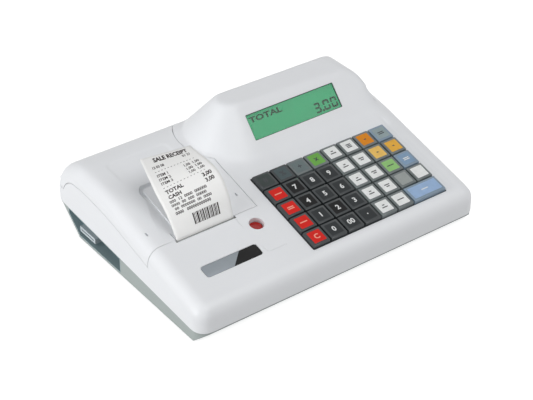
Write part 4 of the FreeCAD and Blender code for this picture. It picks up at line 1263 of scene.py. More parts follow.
@dataclass(frozen=True)
class Keypad:
    """The keypad's field on the deck."""

    deck: Deck
    left_x: float = -26.0
    front_v: float = -106.102
    pitch: float = 18.75
    columns: int = 8
    rows: int = 5
    gap: float = 0.9
    proud: float = 3.3
    skirt: float = 3.0
    margin: float = 0.45
    corner: float = 1.2

    def opening(self) -> bmesh.types.BMesh:
        """The opening for the key grid, as a working solid."""
        low = (self.left_x - self.margin, self.front_v - self.margin, -60)
        high = (
            self.left_x + self.columns * self.pitch + self.margin,
            self.front_v + self.rows * self.pitch + self.margin,
            60,
        )
        return self.deck.laid(round_upright_edges(slab(low, high), self.corner, 3))

    def span(self, row: int, column: int, width: int) -> tuple[float, float, float, float]:
        """The left, front, right and rear edges of a key's cap.

        Args:
            row: The row, 0 at the rear.
            column: The column, 0 at the left.
            width: The key's width in pitches.

        Returns:
            The four edges on the level deck.
        """
        left = self.left_x + column * self.pitch + self.gap / 2
        front = self.front_v + (self.rows - 1 - row) * self.pitch + self.gap / 2
        return (left, front, left + width * self.pitch - self.gap, front + self.pitch - self.gap)


@dataclass(frozen=True)
class ButtonWell:
    """The round well in the deck, with the red button at its bottom."""

    deck: Deck
    x: float = -51.8
    v: float = -58.0
    radius: float = 6.75
    wall: float = 1.5
    depth: float = 8.5
    button_radius: float = 6.3
    button_sink: float = 4.2
    button_thickness: float = 2.3
    stem_radius: float = 2.4
    stem_length: float = 6.0
    stem_gap: float = 0.3
    rim_radius: float = 0.9
    tube_top: float = 1.25

    def tube(self) -> bmesh.types.BMesh:
        """The well's wall and floor, as a working solid."""
        centre = (self.x, self.v)
        bottom = -self.depth - self.wall
        outer = drum(self.radius + self.wall, centre, bottom, -self.tube_top)
        bore = drum(self.stem_radius + self.stem_gap, centre, -FAR, 0.0, 24)
        return self.deck.laid(carve(outer, [bore]))

    def opening(self) -> bmesh.types.BMesh:
        """The well's room, as a working solid."""
        return self.deck.laid(drum(self.radius, (self.x, self.v), -self.depth, 60.0))

    def button(self) -> bpy.types.Object:
        """The red lens with a shallow crown and its stem.

        Returns:
            The finished piece.
        """
        under = -self.button_sink - self.button_thickness
        bm = drum(self.button_radius, (self.x, self.v), under, -self.button_sink, 48)
        rim = [e for e in bm.edges if min(v.co.z for v in e.verts) > -self.button_sink - 0.01]
        soften(bm, rim, self.rim_radius, 5)
        stem = drum(self.stem_radius, (self.x, self.v), under - self.stem_length, under + 0.5, 24)
        bm = carve(bm, [stem], Carve.JOIN)
        made = dress(finish_mesh(self.deck.laid(bm), "red_button_lens"), RED_LENS)
        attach(made, "button")
        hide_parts("red_button")
        return made


@dataclass(frozen=True)
class Badge:
    """The bare two-tone badge plate and its recess."""

    deck: Deck
    x: float = -94.7
    v: float = -82.6
    width: float = 56.4
    height: float = 12.4
    recess: float = 0.8
    gap: float = 0.3
    lift: float = 0.02
    sink: float = 0.05
    rim_radius: float = 0.15
    corner: float = 2.6
    split: float = 5.0
    slant: float = 6.4

    def opening(self) -> bmesh.types.BMesh:
        """The recess, as a working solid."""
        gap = self.gap
        room = slab(
            (self.x - self.width / 2 - gap, self.v - self.height / 2 - gap, -self.recess),
            (self.x + self.width / 2 + gap, self.v + self.height / 2 + gap, 30),
        )
        return self.deck.laid(round_upright_edges(room, self.corner, 4))

    def plate(self, half: int) -> bmesh.types.BMesh:
        """The silver half (0) or the black half (1), parted along a slanted line."""
        bm = slab(
            (self.x - self.width / 2, self.v - self.height / 2, -self.recess + self.lift),
            (self.x + self.width / 2, self.v + self.height / 2, -self.sink),
        )
        round_upright_edges(bm, self.corner, 5)
        rim = [e for e in bm.edges if min(v.co.z for v in e.verts) > -self.sink - 0.01]
        soften(bm, rim, self.rim_radius, 2)
        place = (self.x + self.split, self.v, 0)
        across = (1, -self.slant * 2 / self.height, 0)
        cut = bmesh.ops.bisect_plane(
            bm, geom=bm.verts[:] + bm.edges[:] + bm.faces[:], plane_co=place, plane_no=across,
            clear_outer=half == 0, clear_inner=half == 1,
        )
        edges = [g for g in cut["geom_cut"] if isinstance(g, bmesh.types.BMEdge)]
        bmesh.ops.contextual_create(bm, geom=edges)
        return self.deck.laid(bm)

    def build(self) -> None:
        """Make both halves."""
        halves = (("silver", BADGE_SILVER), ("black", BADGE_BLACK))
        for half, (name, finish) in enumerate(halves):
            made = dress(finish_mesh(self.plate(half), f"badge_plate_{name}"), finish)
            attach(made, "case")


@dataclass(frozen=True)
class UpperCase:
    """The white shell with its openings, and fine lines pressed into its deck."""

    form: Form
    lid: PaperLid
    keypad: Keypad
    well: ButtonWell
    badge: Badge
    display: "Display"
    wall: float = 2.5
    crease_half: float = 0.22
    crease_depth: float = 0.16
    crease_turn: float = 4.0
    crease_corner: Point = (-62.3, -89.6)
    crease_right: float = -43.0
    crease_rise: float = 4.5
    slot_crease: tuple[float, float, float] = (-64.8, -56.0, -42.5)

    def inside(self) -> list[bmesh.types.BMesh]:
        """The hollow of the case, as working solids."""
        return [self.form.deck.block(self.wall, 0.0), self.form.hood.solid(self.wall)]

    def creases(self) -> list[bmesh.types.BMesh]:
        """Fine lines of a panel round the button, as working solids."""
        half, deep, turn = self.crease_half, -self.crease_depth, self.crease_turn
        left, front = self.crease_corner
        corner = (left + turn, front + turn)
        ring = carve(drum(turn + half, corner, deep, 4.0), [drum(turn - half, corner, -4.0, 8.0)])
        quarter = slab((left - 1, front - 1, -8.0), (*corner, 8.0))
        x, start, end = self.slot_crease
        lines = [
            slab((left - half, corner[1], deep), (left + half, corner[1] + self.crease_rise, 4.0)),
            slab((corner[0], front - half, deep), (self.crease_right, front + half, 4.0)),
            slab((x - half, start, deep), (x + half, end, 4.0)),
            carve(ring, [quarter], Carve.KEEP),
        ]
        return [self.form.deck.laid(line) for line in lines]

    def build(self, skin: bmesh.types.BMesh) -> bpy.types.Object:
        """Cut the shell out of the skin.

        Args:
            skin: The form's skin, which is freed.

        Returns:
            The finished shell.
        """
        deck = self.form.deck
        below = slab((-FAR, -FAR, -FAR), (FAR, FAR, 0.0))
        tilt = Matrix.Translation((0, 0, deck.seam_height(0.0))) @ Matrix.Rotation(
            math.radians(deck.seam_tilt), 4, "X"
        )
        bmesh.ops.transform(below, matrix=tilt, verts=below.verts)
        shell = carve(skin, [below, self.lid.space(self.lid.gap)] + self.inside())
        shell = carve(shell, [self.lid.slot(), self.keypad.opening()])
        shell = carve(shell, [self.display.opening(False), self.display.opening(True)])
        shell = carve(shell, [self.well.tube()], Carve.JOIN)
        shell = carve(shell, [self.well.opening(), self.badge.opening(), self.lid.hinge_groove()])
        shell = carve(shell, self.creases())
        shell = carve(shell, self.lid.case_ears(), Carve.JOIN)
        made = dress(finish_mesh(shell, "white_case"), WHITE_SHELL)
        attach(made, "case")
        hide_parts("upper_case")
        return made


@dataclass(frozen=True)
class Display:
    """A display in the hood: shade-painted window walls, green glass with a painted glow, figures,
    pane, metal frame and board.
    """

    hood: Hood
    centre_x: float = 49.5
    centre_up: float = 29.6
    width: float = 99.0
    height: float = 24.4
    wall: float = 2.5
    pane_recess: float = 1.0
    pane_thickness: float = 1.2
    pane_gap: float = 0.6
    corner: float = 0.8
    glass_lift: float = 0.1
    walls_top: float = 0.35
    walls_thickness: float = 0.38
    walls_gap: float = 0.02
    module: tuple[float, float, float] = (103.0, 32.0, 7.0)
    board: tuple[float, float, float] = (105.0, 44.0, 1.6)
    word: str = "TOTAL"
    word_size: float = 7.0
    word_stretch: float = 1.6
    word_inset: Point = (3.0, 8.0)
    price: tuple[tuple[str, float], ...] = (("3", 28.0), (".", 19.9), ("0", 17.6), ("0", 8.9))
    price_rise: float = 2.4
    sign_size: Point = (6.9, 9.8)
    figure_lift: float = 0.04
    figure_thickness: float = 0.06

    def block(self, width: float, height: float, low: float, high: float) -> bmesh.types.BMesh:
        """A box centred on the window, between two depths."""
        x, y = self.centre_x, self.centre_up
        return slab((x - width / 2, y - height / 2, low), (x + width / 2, y + height / 2, high))

    def shrunk(self, gap: float, low: float, high: float) -> bmesh.types.BMesh:
        """A box with the window's outline less a gap on every side, between two depths."""
        return self.block(self.width - 2 * gap, self.height - 2 * gap, low, high)

    def laid(self, bm: bmesh.types.BMesh, rear: bool) -> bmesh.types.BMesh:
        """A level shape laid on the hood's front or rear face."""
        bmesh.ops.transform(bm, matrix=self.hood.placement(rear), verts=bm.verts)
        if rear:
            bmesh.ops.reverse_faces(bm, faces=bm.faces)
        return bm

    def opening(self, rear: bool) -> bmesh.types.BMesh:
        """The window's opening, as a working solid."""
        room = self.block(self.width, self.height, -5.0, 6.0)
        return self.laid(round_upright_edges(room, self.corner, 3), rear)

    def segment(self, bm: bmesh.types.BMesh, centre: Point, size: Point, depth: float) -> None:
        """Add one bar of a figure.

        Args:
            bm: The mesh that it is added to.
            centre: Its place on the face.
            size: Its width and height.
            depth: Its height over the face.
        """
        made = bmesh.ops.create_cube(bm, size=1.0)["verts"]
        bmesh.ops.scale(bm, vec=(*size, self.figure_thickness), verts=made)
        bmesh.ops.translate(bm, vec=(*centre, depth), verts=made)

    def figure(self, bm: bmesh.types.BMesh, sign: str, corner: Point, depth: float) -> None:
        """Add one seven-segment figure.

        Args:
            bm: The mesh that it is added to.
            sign: The figure, or a point.
            corner: Its lower left corner.
            depth: Its height over the face.
        """
        bars = {"0": "abcdef", "3": "abgcd"}
        width, height = self.sign_size
        thick = width * 0.24
        x, y = corner
        if sign == ".":
            self.segment(bm, (x + thick / 2, y + thick / 2), (thick * 1.2, thick * 1.2), depth)
            return
        flat = (width - thick * 1.25, thick)
        upright = (thick, height / 2 - thick * 0.8)
        spots = {
            "a": ((x + width / 2, y + height - thick / 2), flat),
            "g": ((x + width / 2, y + height / 2), flat),
            "d": ((x + width / 2, y + thick / 2), flat),
            "f": ((x + thick / 2, y + height * 0.75), upright),
            "b": ((x + width - thick / 2, y + height * 0.75), upright),
            "e": ((x + thick / 2, y + height * 0.25), upright),
            "c": ((x + width - thick / 2, y + height * 0.25), upright),
        }
        for name in bars[sign]:
            self.segment(bm, *spots[name], depth)

    def figures(self, rear: bool) -> bmesh.types.BMesh:
        """The price and the word above it, as thin dark shapes on the glass."""
        bm = bmesh.new()
        depth = -self.wall + self.glass_lift + self.figure_lift
        left, right = self.centre_x - self.width / 2, self.centre_x + self.width / 2
        low, high = self.centre_up - self.height / 2, self.centre_up + self.height / 2
        for sign, from_right in self.price:
            self.figure(bm, sign, (right - from_right, low + self.price_rise), depth)
        word = lettering(self.word, self.word_size, 0.12)
        bmesh.ops.scale(word, vec=(self.word_stretch, 1.0, 1.0), verts=word.verts)
        inset, drop = self.word_inset
        place = (left + inset, high - drop, depth + self.figure_thickness / 2)
        bmesh.ops.translate(word, vec=place, verts=word.verts)
        merge(bm, word)
        if rear:
            mirror = Matrix.Scale(-1, 4, (1, 0, 0))
            about_middle = Matrix.Translation((2 * self.centre_x, 0, 0)) @ mirror
            bmesh.ops.transform(bm, matrix=about_middle, verts=bm.verts)
            bmesh.ops.reverse_faces(bm, faces=bm.faces)
        return self.laid(bm, rear)

    def build(self, rear: bool) -> None:
        """Make one display.

        Args:
            rear: Whether it is the customer's display on the hood's back.
        """
        side = "customer" if rear else "operator"
        glass_top = -self.wall + self.glass_lift
        walls = self.shrunk(self.walls_gap, glass_top, -self.walls_top)
        room = self.shrunk(self.walls_gap + self.walls_thickness, -6.0, 6.0)
        round_upright_edges(walls, self.corner, 3)
        walls = carve(walls, [round_upright_edges(room, 0.5, 3)])
        low = -self.wall - self.module[2]
        frame_box = self.block(self.module[0], self.module[1], low, -self.wall)
        soften(frame_box, frame_box.edges[:], 0.6, 2)
        glass = self.shrunk(0.2, -self.wall - 0.2, glass_top)
        board = self.block(self.board[0], self.board[1], low - self.board[2], low)
        pane_low = -self.pane_recess - self.pane_thickness
        pane = self.shrunk(self.pane_gap, pane_low, -self.pane_recess)
        # The window walls are painted shade, and the green glass glows with painted light.
        pieces = (
            ("window_shade_walls", walls, WINDOW_WALL_SHADE),
            ("lcd_frame", frame_box, STEEL_PRESSED),
            ("lcd_glass", glass, LCD_GREEN_PAINTED_GLOW),
            ("lcd_board", board, BOARD_GREEN),
            ("clear_pane", pane, CLEAR_PANE),
        )
        for name, bm, finish in pieces:
            made = dress(finish_mesh(self.laid(bm, rear), f"{side}_{name}"), finish)
            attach(made, "case")
            if name == "lcd_frame":
                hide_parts("customer_display" if rear else "operator_display")
            if name == "clear_pane" and not rear:
                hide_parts("operator_window")
        made = dress(finish_mesh(self.figures(rear), f"{side}_lcd_figures"), LCD_FIGURES)
        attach(made, "case")


class Insert(Enum):
    """The card under a key's clear cap, by colour."""

    CHARCOAL = "#3C4443"
    SLATE = "#4C5A5D"
    GREY = "#6B7879"
    GREEN = "#6FAF4E"
    PALE_GREEN = "#93C67A"
    WHITE = "#EFF1F0"
    ORANGE = "#E08A1C"
    YELLOW = "#E9B145"
    PALE_YELLOW = "#F0C468"
    BLUE_GREY = "#95A5A8"
    RED = "#DA231A"
    BLACK = "#050607"
    DARK = "#2B2F31"
    BLUE = "#84A0BC"
    SILVER = "#9FA5A3"
    SKY = "#9DB9DC"

    @property
    def finish(self) -> Finish:
        """The card's finish: printed card under clear styrene."""
        return Finish(
            f"printed_card_{self.name.lower()}", self.value, 0.4, ior=1.3, mottle=0.08,
            mottle_mm=6.0,
        )

    @property
    def cap(self) -> Finish:
        """The finish of the clear cap round this card."""
        if self in (Insert.CHARCOAL, Insert.RED, Insert.BLACK, Insert.DARK, Insert.SLATE):
            return CAP_DARK
        return CAP_BLUE if self in (Insert.SKY, Insert.BLUE, Insert.BLUE_GREY) else CAP_MID

    @property
    def ink(self) -> Finish:
        """The ink that shows on this card."""
        if self is Insert.RED:
            return PRINT_BLUSH
        if self in (Insert.BLACK, Insert.DARK, Insert.SKY, Insert.BLUE):
            return PRINT_PALE
        return PRINT_DARK


@dataclass(frozen=True)
class KeyFace:
    """What shows on one key."""

    insert: Insert
    legend: str = ""
    width: int = 1


KEY_FACES = (
    (
        KeyFace(Insert.CHARCOAL, "#"), KeyFace(Insert.SLATE, "%"), KeyFace(Insert.GREY, "+"),
        KeyFace(Insert.GREEN, "x"), KeyFace(Insert.WHITE, "-_"), KeyFace(Insert.WHITE, "::"),
        KeyFace(Insert.ORANGE, "-"), KeyFace(Insert.BLUE_GREY, "="),
    ),
    (
        KeyFace(Insert.RED, "_"), KeyFace(Insert.BLACK, "7"), KeyFace(Insert.DARK, "8"),
        KeyFace(Insert.DARK, "9"), KeyFace(Insert.WHITE, "-_"), KeyFace(Insert.WHITE, "=="),
        KeyFace(Insert.PALE_YELLOW, "-"), KeyFace(Insert.YELLOW, "-"),
    ),
    (
        KeyFace(Insert.RED, "="), KeyFace(Insert.BLACK, "4"), KeyFace(Insert.DARK, "5"),
        KeyFace(Insert.DARK, "6"), KeyFace(Insert.WHITE, "-_"), KeyFace(Insert.WHITE, "=="),
        KeyFace(Insert.PALE_GREEN, "_"), KeyFace(Insert.BLUE, "="),
    ),
    (
        KeyFace(Insert.RED, "_"), KeyFace(Insert.DARK, "1"), KeyFace(Insert.BLACK, "2"),
        KeyFace(Insert.DARK, "3"), KeyFace(Insert.WHITE, "-_"), KeyFace(Insert.WHITE, "=="),
        KeyFace(Insert.SILVER), KeyFace(Insert.WHITE),
    ),
    (
        KeyFace(Insert.RED, "C"), KeyFace(Insert.DARK, "0"), KeyFace(Insert.DARK, "00"),
        KeyFace(Insert.DARK, "."), KeyFace(Insert.WHITE, "-_"), KeyFace(Insert.WHITE, "_"),
        KeyFace(Insert.SKY, "_", 2),
    ),
)


@dataclass(frozen=True)
class Keys:
    """The key caps: a smoky clear cap over a coloured card, with a legend and a stem."""

    keypad: Keypad
    bars: dict[str, tuple[Point, ...]] = field(default_factory=lambda: {
        "==": ((0.5, 5.6), (-1.6, 3.6)),
        "=": ((0.4, 6.4), (-1.5, 6.4)),
        "_": ((-0.6, 7.4),),
        "-_": ((0.9, 2.4), (-1.7, 5.8)),
        "::": ((1.3, 5.0), (-0.4, 5.0), (-2.1, 5.0)),
    })
    draft: float = 0.25
    edge: float = 0.75
    insert_inset: float = 2.55
    card_proud: float = 0.06
    card_thickness: float = 0.3
    card_corner: float = 0.8
    bar_width: float = 1.1
    bar_thickness: float = 0.02
    legend_size: float = 7.4
    legend_bold: float = 0.1
    legend_lift: float = 0.09
    stem_side: float = 6.0
    stem_length: float = 7.9

    def cap(self, edges: Sequence[float]) -> bmesh.types.BMesh:
        """A cap with draft, a stem and narrow edges painted pale as a highlight, in the second
        finish.
        """
        left, front, right, rear = edges
        skirt, proud = self.keypad.skirt, self.keypad.proud
        bm = slab((left, front, -skirt), (right, rear, proud))
        middle = ((left + right) / 2, (front + rear) / 2)
        top = [v for v in bm.verts if v.co.z > 0]
        for vert in top:
            vert.co.x += self.draft if vert.co.x < middle[0] else -self.draft
            vert.co.y += self.draft if vert.co.y < middle[1] else -self.draft
        round_tops = [e for e in bm.edges if max(v.co.z for v in e.verts) > 0]
        soften(bm, round_tops, self.edge, 2)
        bm.normal_update()
        # The slanted bevel faces take the second finish, a pale painted highlight along the cap's
        # edges.
        for face in bm.faces:
            if 0.2 < face.normal.z < 0.95:
                face.material_index = 1
        half = self.stem_side / 2
        stem = slab(
            (middle[0] - half, middle[1] - half, -skirt - self.stem_length),
            (middle[0] + half, middle[1] + half, -skirt),
        )
        merge(bm, stem)
        return bm

    def card(self, edges: Sequence[float]) -> bmesh.types.BMesh:
        """The coloured card, just proud of the cap so that it shows."""
        left, front, right, rear = edges
        inset = self.insert_inset
        top = self.keypad.proud
        bm = slab(
            (left + inset, front + inset, top - self.card_thickness),
            (right - inset, rear - inset, top + self.card_proud),
        )
        return round_upright_edges(bm, self.card_corner, 3)

    def legend(self, face: KeyFace, edges: Sequence[float]) -> Optional[bmesh.types.BMesh]:
        """The legend's flat shapes, or nothing on a bare key."""
        left, front, right, rear = edges
        top = self.keypad.proud + self.legend_lift
        middle = ((left + right) / 2, (front + rear) / 2, top)
        if not face.legend:
            return None
        if face.legend in self.bars:
            bm = bmesh.new()
            for low, length in self.bars[face.legend]:
                high = low + self.bar_width
                under = -self.bar_thickness
                merge(bm, slab((-length / 2, low, under), (length / 2, high, 0.0)))
        else:
            bm = lettering(face.legend, self.legend_size, self.legend_bold)
            centre_shape(bm)
        bmesh.ops.translate(bm, vec=middle, verts=bm.verts)
        return bm

    def build(self) -> int:
        """Make every key.

        Returns:
            The number of keys.
        """
        count = 0
        for row, faces in enumerate(KEY_FACES):
            column = 0
            for face in faces:
                name = f"key_r{row + 1}_c{column + 1}"
                edges = self.keypad.span(row, column, face.width)
                parts = [
                    ("cap", self.cap(edges), (face.insert.cap, CAP_EDGE_HIGHLIGHT)),
                    ("card", self.card(edges), (face.insert.finish,)),
                    ("legend", self.legend(face, edges), (face.insert.ink,)),
                ]
                for part, bm, finishes in parts:
                    if bm is None:
                        continue
                    laid = self.keypad.deck.laid(bm)
                    made = dress(finish_mesh(laid, f"{name}_{part}", 25), *finishes)
                    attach(made, f"{name}_body")
                    if part == "cap":
                        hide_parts(name)
                column += face.width
                count += 1
        return count


@dataclass(frozen=True)
class Receipt:
    """The printed receipt, curling out of the slot, with its print."""

    left_x: float = -122.55
    right_x: float = -65.05
    thickness: float = 0.12
    left_edge: tuple[Point, ...] = (
        (-41.2, 50.6), (-37.2, 57.5), (-25.6, 72.0), (-8.2, 86.2), (12.2, 106.8),
    )
    right_edge: tuple[Point, ...] = (
        (-41.2, 50.6), (-39.6, 58.2), (-33.0, 76.8), (-16.4, 91.2), (22.8, 93.6),
    )
    steps: tuple[int, int] = (20, 48)
    length: float = 83.0
    slot_run: float = 7.0
    print_lift: float = 0.04
    print_thickness: float = 0.01
    print_run: float = 4.0
    dash: tuple[float, float, float] = (1.4, 1.9, 0.45)
    dash_left: float = 8.0
    dash_count: int = 13
    dash_rows: Point = (66.0, 47.6)
    rows: tuple[tuple[str, float, float, float, float], ...] = (
        ("SALE RECEIPT", 12.0, 76.0, 6.2, 0.14),
        ("01 27", 41.0, 71.6, 3.8, 0.09),
        ("12 03 08", 7.0, 69.6, 3.6, 0.09),
        ("TOTAL", 8.0, 41.4, 5.2, 0.12),
        ("3,00", 43.5, 41.4, 5.2, 0.12),
        ("CASH", 8.0, 36.2, 4.8, 0.12),
        ("3,00", 43.5, 36.2, 4.8, 0.12),
        ("000  12  0000  000000", 7.0, 31.8, 3.8, 0.09),
        ("0000  00  000  00000", 7.0, 27.6, 3.8, 0.09),
        ("00  0000000  00  0000", 8.5, 23.4, 3.8, 0.09),
        ("0000   000000000000", 7.5, 19.2, 3.8, 0.09),
    )
    items: int = 3
    item_top: float = 60.4
    item_pitch: float = 4.6
    item_columns: tuple[float, float, float] = (8.0, 35.0, 44.0)
    code_left: float = 21.0
    code_span: Point = (4.6, 15.6)
    code_bars: tuple[float, ...] = (
        1.1, 0.5, 0.5, 1.4, 0.5, 0.9, 0.5, 1.2, 0.8, 0.5, 1.3, 0.5, 0.7, 1.1, 0.5, 0.9, 0.6, 1.2,
    )
    code_gaps: tuple[float, float, float] = (0.5, 0.8, 0.5)

    @staticmethod
    def along(points: Sequence[Point], t: float) -> Vector:
        """A point on a smooth line through some points.

        Args:
            points: The points.
            t: How far along, from 0 to 1.

        Returns:
            The point.
        """
        spots = [Vector(p) for p in points]
        reach = [0.0]
        for a, b in zip(spots, spots[1:]):
            reach.append(reach[-1] + (b - a).length)
        goal = t * reach[-1]
        i = max(j for j in range(len(spots) - 1) if reach[j] <= goal + 1e-9)
        step = (goal - reach[i]) / (reach[i + 1] - reach[i])
        before = spots[i - 1] if i else spots[0] * 2 - spots[1]
        after = spots[i + 2] if i + 2 < len(spots) else spots[-1] * 2 - spots[-2]
        a, b = spots[i], spots[i + 1]
        run_a, run_b = (b - before) / 2, (after - a) / 2
        s2, s3 = step * step, step ** 3
        leave = a * (2 * s3 - 3 * s2 + 1) + run_a * (s3 - 2 * s2 + step)
        return leave + b * (3 * s2 - 2 * s3) + run_b * (s3 - s2)

    def surface(self, across: float, along: float, lift: float = 0.0) -> Vector:
        """A point on the paper.

        Args:
            across: How far from the left edge to the right one, from 0 to 1.
            along: How far from the slot to the torn end, from 0 to 1.
            lift: The height over the printed face.

        Returns:
            The point.
        """
        def spot(a: float, t: float) -> Vector:
            """The point without its lift."""
            y, z = self.along(self.left_edge, t).lerp(self.along(self.right_edge, t), a)
            return Vector((self.left_x + (self.right_x - self.left_x) * a, y, z))

        place = spot(across, along)
        if lift:
            step = 0.004
            run = spot(across, min(1.0, along + step)) - spot(across, max(0.0, along - step))
            side = spot(min(1.0, across + step), along) - spot(max(0.0, across - step), along)
            place += side.cross(run).normalized() * lift
        return place

    def paper(self) -> bpy.types.Object:
        """The sheet itself.

        Returns:
            The finished piece.
        """
        bm = bmesh.new()
        across, along = self.steps
        bmesh.ops.create_grid(bm, x_segments=across, y_segments=along, size=0.5)
        for vert in bm.verts:
            vert.co = self.surface(vert.co.x + 0.5, vert.co.y + 0.5)
        made = finish_mesh(bm, "receipt_paper", 80)
        thick = made.modifiers.new("thickness", "SOLIDIFY")
        thick.thickness = self.thickness * MM
        thick.offset = -1.0
        dress(made, THERMAL_PAPER)
        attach(made, "lid")
        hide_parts("receipt")
        return made

    def print_rows(self) -> bmesh.types.BMesh:
        """The print, flat: X from the left edge and Y from the slot, in millimetres."""
        bm = bmesh.new()
        left, first, second = self.item_columns
        rows = list(self.rows)
        for step in range(self.items):
            y = self.item_top - self.item_pitch * step
            rows.append((f"ITEM {step + 1}", left, y, 4.0, 0.09))
            rows += [("1,00", x, y, 4.0, 0.09) for x in (first, second)]
        for text, x, y, size, bold in rows:
            word = lettering(text, size, bold)
            bmesh.ops.translate(word, vec=(x, y, 0), verts=word.verts)
            merge(bm, word)
        length, gap, height = self.dash
        under = -self.print_thickness
        for y in self.dash_rows:
            for step in range(self.dash_count):
                x = self.dash_left + (length + gap) * step
                merge(bm, slab((x, y, under), (x + length, y + height, 0.0)))
        x = self.code_left
        low, high = self.code_span
        for step, width in enumerate(self.code_bars):
            merge(bm, slab((x, low, under), (x + width, high, 0.0)))
            x += width + self.code_gaps[step % len(self.code_gaps)]
        return bm

    def printing(self) -> bpy.types.Object:
        """The print, laid on the curled sheet.

        Returns:
            The finished piece.
        """
        bm = self.print_rows()
        long_edges = [e for e in bm.edges if e.calc_length() > self.print_run]
        bmesh.ops.subdivide_edges(bm, edges=long_edges, cuts=3, use_grid_fill=True)
        width = self.right_x - self.left_x
        whole = self.length + self.slot_run
        for vert in bm.verts:
            along = min(1.0, (vert.co.y + self.slot_run) / whole)
            vert.co = self.surface(vert.co.x / width, along, self.print_lift + vert.co.z)
        made = dress(finish_mesh(bm, "receipt_print", 80), THERMAL_PRINT)
        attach(made, "lid")
        return made


def lettering(text: str, size: float, bold: float = 0.0) -> bmesh.types.BMesh:
    """Flat figures or letters in millimetres, from the built-in font.

    Args:
        text: What is written.
        size: The height of a line.
        bold: How much the strokes are thickened, as a share of the size.

    Returns:
        The flat mesh at the origin.
    """
    curve = bpy.data.curves.new("text", "FONT")
    curve.body = text
    curve.size = size
    curve.offset = bold * size * 0.3
    curve.resolution_u = 2
    holder = bpy.data.objects.new("text", curve)
    data = bpy.data.meshes.new_from_object(holder)
    bm = bmesh.new()
    bm.from_mesh(data)
    bpy.data.objects.remove(holder)
    bpy.data.curves.remove(curve)
    bpy.data.meshes.remove(data)
    return bm


def centre_shape(bm: bmesh.types.BMesh) -> None:
    """Move a flat shape so that its middle is at the origin."""
    xs = [v.co.x for v in bm.verts]
    ys = [v.co.y for v in bm.verts]
    shift = (-(min(xs) + max(xs)) / 2, -(min(ys) + max(ys)) / 2, 0)
    bmesh.ops.translate(bm, vec=shift, verts=bm.verts)


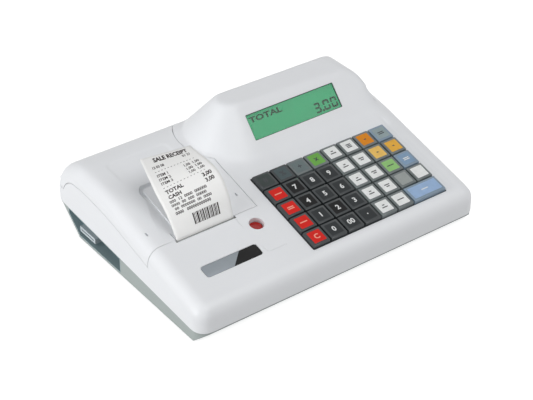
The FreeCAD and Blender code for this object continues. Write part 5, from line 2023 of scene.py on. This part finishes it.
@dataclass(frozen=True)
class PortBay:
    """The liner of the port bay in the left side, with its sockets on their small board."""

    deck: Deck
    outer_x: float = -151.3
    inner_x: float = -138.0
    front_y: float = 7.3
    rear_y: float = 92.3
    roof: float = 1.5
    wall: float = 0.5
    floor: float = 4.0
    slope_y: float = 74.85
    slope: float = 41.5
    socket_right: float = -130.0
    dark_length: float = 13.5
    pale_length: float = 20.0
    dark_wall: float = 1.2
    pale_wall: float = 2.1
    mouth: float = 8.0
    tongue_setback: float = 1.5
    tongue_overlap: float = 0.5
    tongue_inset: float = 2.2
    tongue_half: float = 0.4
    hole_gap: float = 0.2
    board_top: float = 8.2
    board_thickness: float = 1.6
    board_corner: float = 1.0
    board_span: Point = (-135.2, -126.2)
    board_ends: Point = (10.3, 76.3)
    sockets: tuple[tuple[float, float, float, Finish], ...] = (
        (14.0, 10.0, 9.5, SOCKET_DARK),
        (31.0, 16.5, 9.0, SOCKET_DARK),
        (50.5, 25.5, 5.6, SOCKET_PALE),
    )

    def room(self, grow: float, left: float) -> bmesh.types.BMesh:
        """The bay's room, drawn in by an amount, as a working solid."""
        front, rear = self.front_y + grow, self.rear_y - grow
        rise = math.tan(math.radians(self.slope))
        lift = grow / math.cos(math.radians(self.slope))
        level = self.floor + grow
        turn = self.slope_y + (grow - lift) / rise
        outline = Outline((front, level))
        outline.line_to(turn, level)
        outline.line_to(rear, level + (rear - turn) * rise)
        outline.line_to(rear, self.deck.seam_height(rear) - self.roof - grow)
        outline.line_to(front, self.deck.seam_height(front) - self.roof - grow)
        return outline.prism(left, self.inner_x - grow)

    def socket(
        self, front: float, length: float, height: float, finish: Finish
    ) -> bmesh.types.BMesh:
        """A socket with an open mouth and a contact tongue, on the board.

        Args:
            front: Where it starts along the bay.
            length: Its length along the bay.
            height: Its height over the board.
            finish: Its finish. The pale socket reaches further out and has a thicker wall.

        Returns:
            The closed solid.
        """
        wall, reach = self.dark_wall, self.dark_length
        if finish is SOCKET_PALE:
            wall, reach = self.pale_wall, self.pale_length
        left, low = self.socket_right - reach, self.board_top
        body = slab((left, front, low), (self.socket_right, front + length, low + height))
        room = slab(
            (left - 1, front + wall, low + wall),
            (left + self.mouth, front + length - wall, low + height - wall),
        )
        body = carve(body, [room])
        middle, inset = low + height / 2, self.tongue_inset * wall
        tongue = slab(
            (left + self.tongue_setback, front + inset, middle - self.tongue_half),
            (
                left + self.mouth + self.tongue_overlap,
                front + length - inset,
                middle + self.tongue_half,
            ),
        )
        return carve(body, [tongue], Carve.JOIN)

    def build(self) -> None:
        """Make the liner, the board and the sockets."""
        liner = carve(self.room(0.0, self.outer_x), [self.room(self.wall, self.outer_x - 5)])
        gap = self.hole_gap
        holes = [
            slab(
                (self.inner_x - 3, front - gap, self.board_top - gap),
                (self.inner_x + 3, front + length + gap, self.board_top + height + gap),
            )
            for front, length, height, _ in self.sockets
        ]
        # The liner's darker blue grey is painted shade for the inside of the bay.
        made = dress(finish_mesh(carve(liner, holes), "port_bay_liner"), BAY_SHADE_GREY)
        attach(made, "case")
        low = self.board_top - self.board_thickness
        board = slab(
            (self.board_span[0], self.board_ends[0], low),
            (self.board_span[1], self.board_ends[1], self.board_top),
        )
        board = round_upright_edges(board, self.board_corner, 3)
        made = dress(finish_mesh(board, "port_board"), BOARD_GREEN)
        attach(made, "case")
        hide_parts("port_connectors")
        for step, (front, length, height, finish) in enumerate(self.sockets):
            socket = self.socket(front, length, height, finish)
            made = dress(finish_mesh(socket, f"port_socket_{step + 1}"), finish)
            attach(made, "case")


@dataclass(frozen=True)
class CarriedNodes:
    """Finishes for the CAD nodes that stay as they are."""

    def build(self) -> int:
        """Dress every node that is still shown.

        Returns:
            The number of nodes dressed.
        """
        finishes = {
            "base_tray": TRAY_GREY,
            "rubber_feet": RUBBER,
            "case_screws": STEEL_ZINC,
            "main_board": BOARD_GREEN,
            "keyboard_board": BOARD_GREEN,
            "key_frame": KEY_GRID,
            "lid_hinge_pins": STEEL_ZINC,
            "printer_frame": PRINTER_DARK,
            "print_head": CERAMIC,
            "tear_bar": STEEL_PRESSED,
            "platen_roller": RUBBER,
            "feed_motor": STEEL_ZINC,
            "paper_roll": WOUND_PAPER,
        }
        for name, finish in finishes.items():
            dress(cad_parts[name], finish)
        return len(finishes)


def main() -> None:
    """Build every sub-assembly in order and report it."""
    Studio().build()
    deck = Deck()
    hood = Hood(deck)
    form = Form(deck, hood)
    lid = PaperLid(deck, hood)
    keypad = Keypad(deck)
    well = ButtonWell(deck)
    badge = Badge(deck)
    display = Display(hood)
    skin = form.skin()
    log.info("form: %d faces", len(skin.faces))
    lid_piece = lid.build(skin)
    lid.slot_guard()
    log.info("paper lid: %d faces", len(lid_piece.data.polygons))
    shell = UpperCase(form, lid, keypad, well, badge, display).build(skin)
    log.info("white case: %d faces", len(shell.data.polygons))
    display.build(False)
    display.build(True)
    log.info("displays: operator's and customer's")
    log.info("keys: %d", Keys(keypad).build())
    receipt = Receipt()
    receipt.paper()
    receipt.printing()
    log.info("receipt: paper and print")
    well.button()
    badge.build()
    PortBay(deck).build()
    log.info("button, badge and port bay")
    log.info("carried nodes: %d", CarriedNodes().build())


if __name__ == "__main__":
    logging.basicConfig(level=logging.INFO, format="%(name)s: %(message)s")
    main()
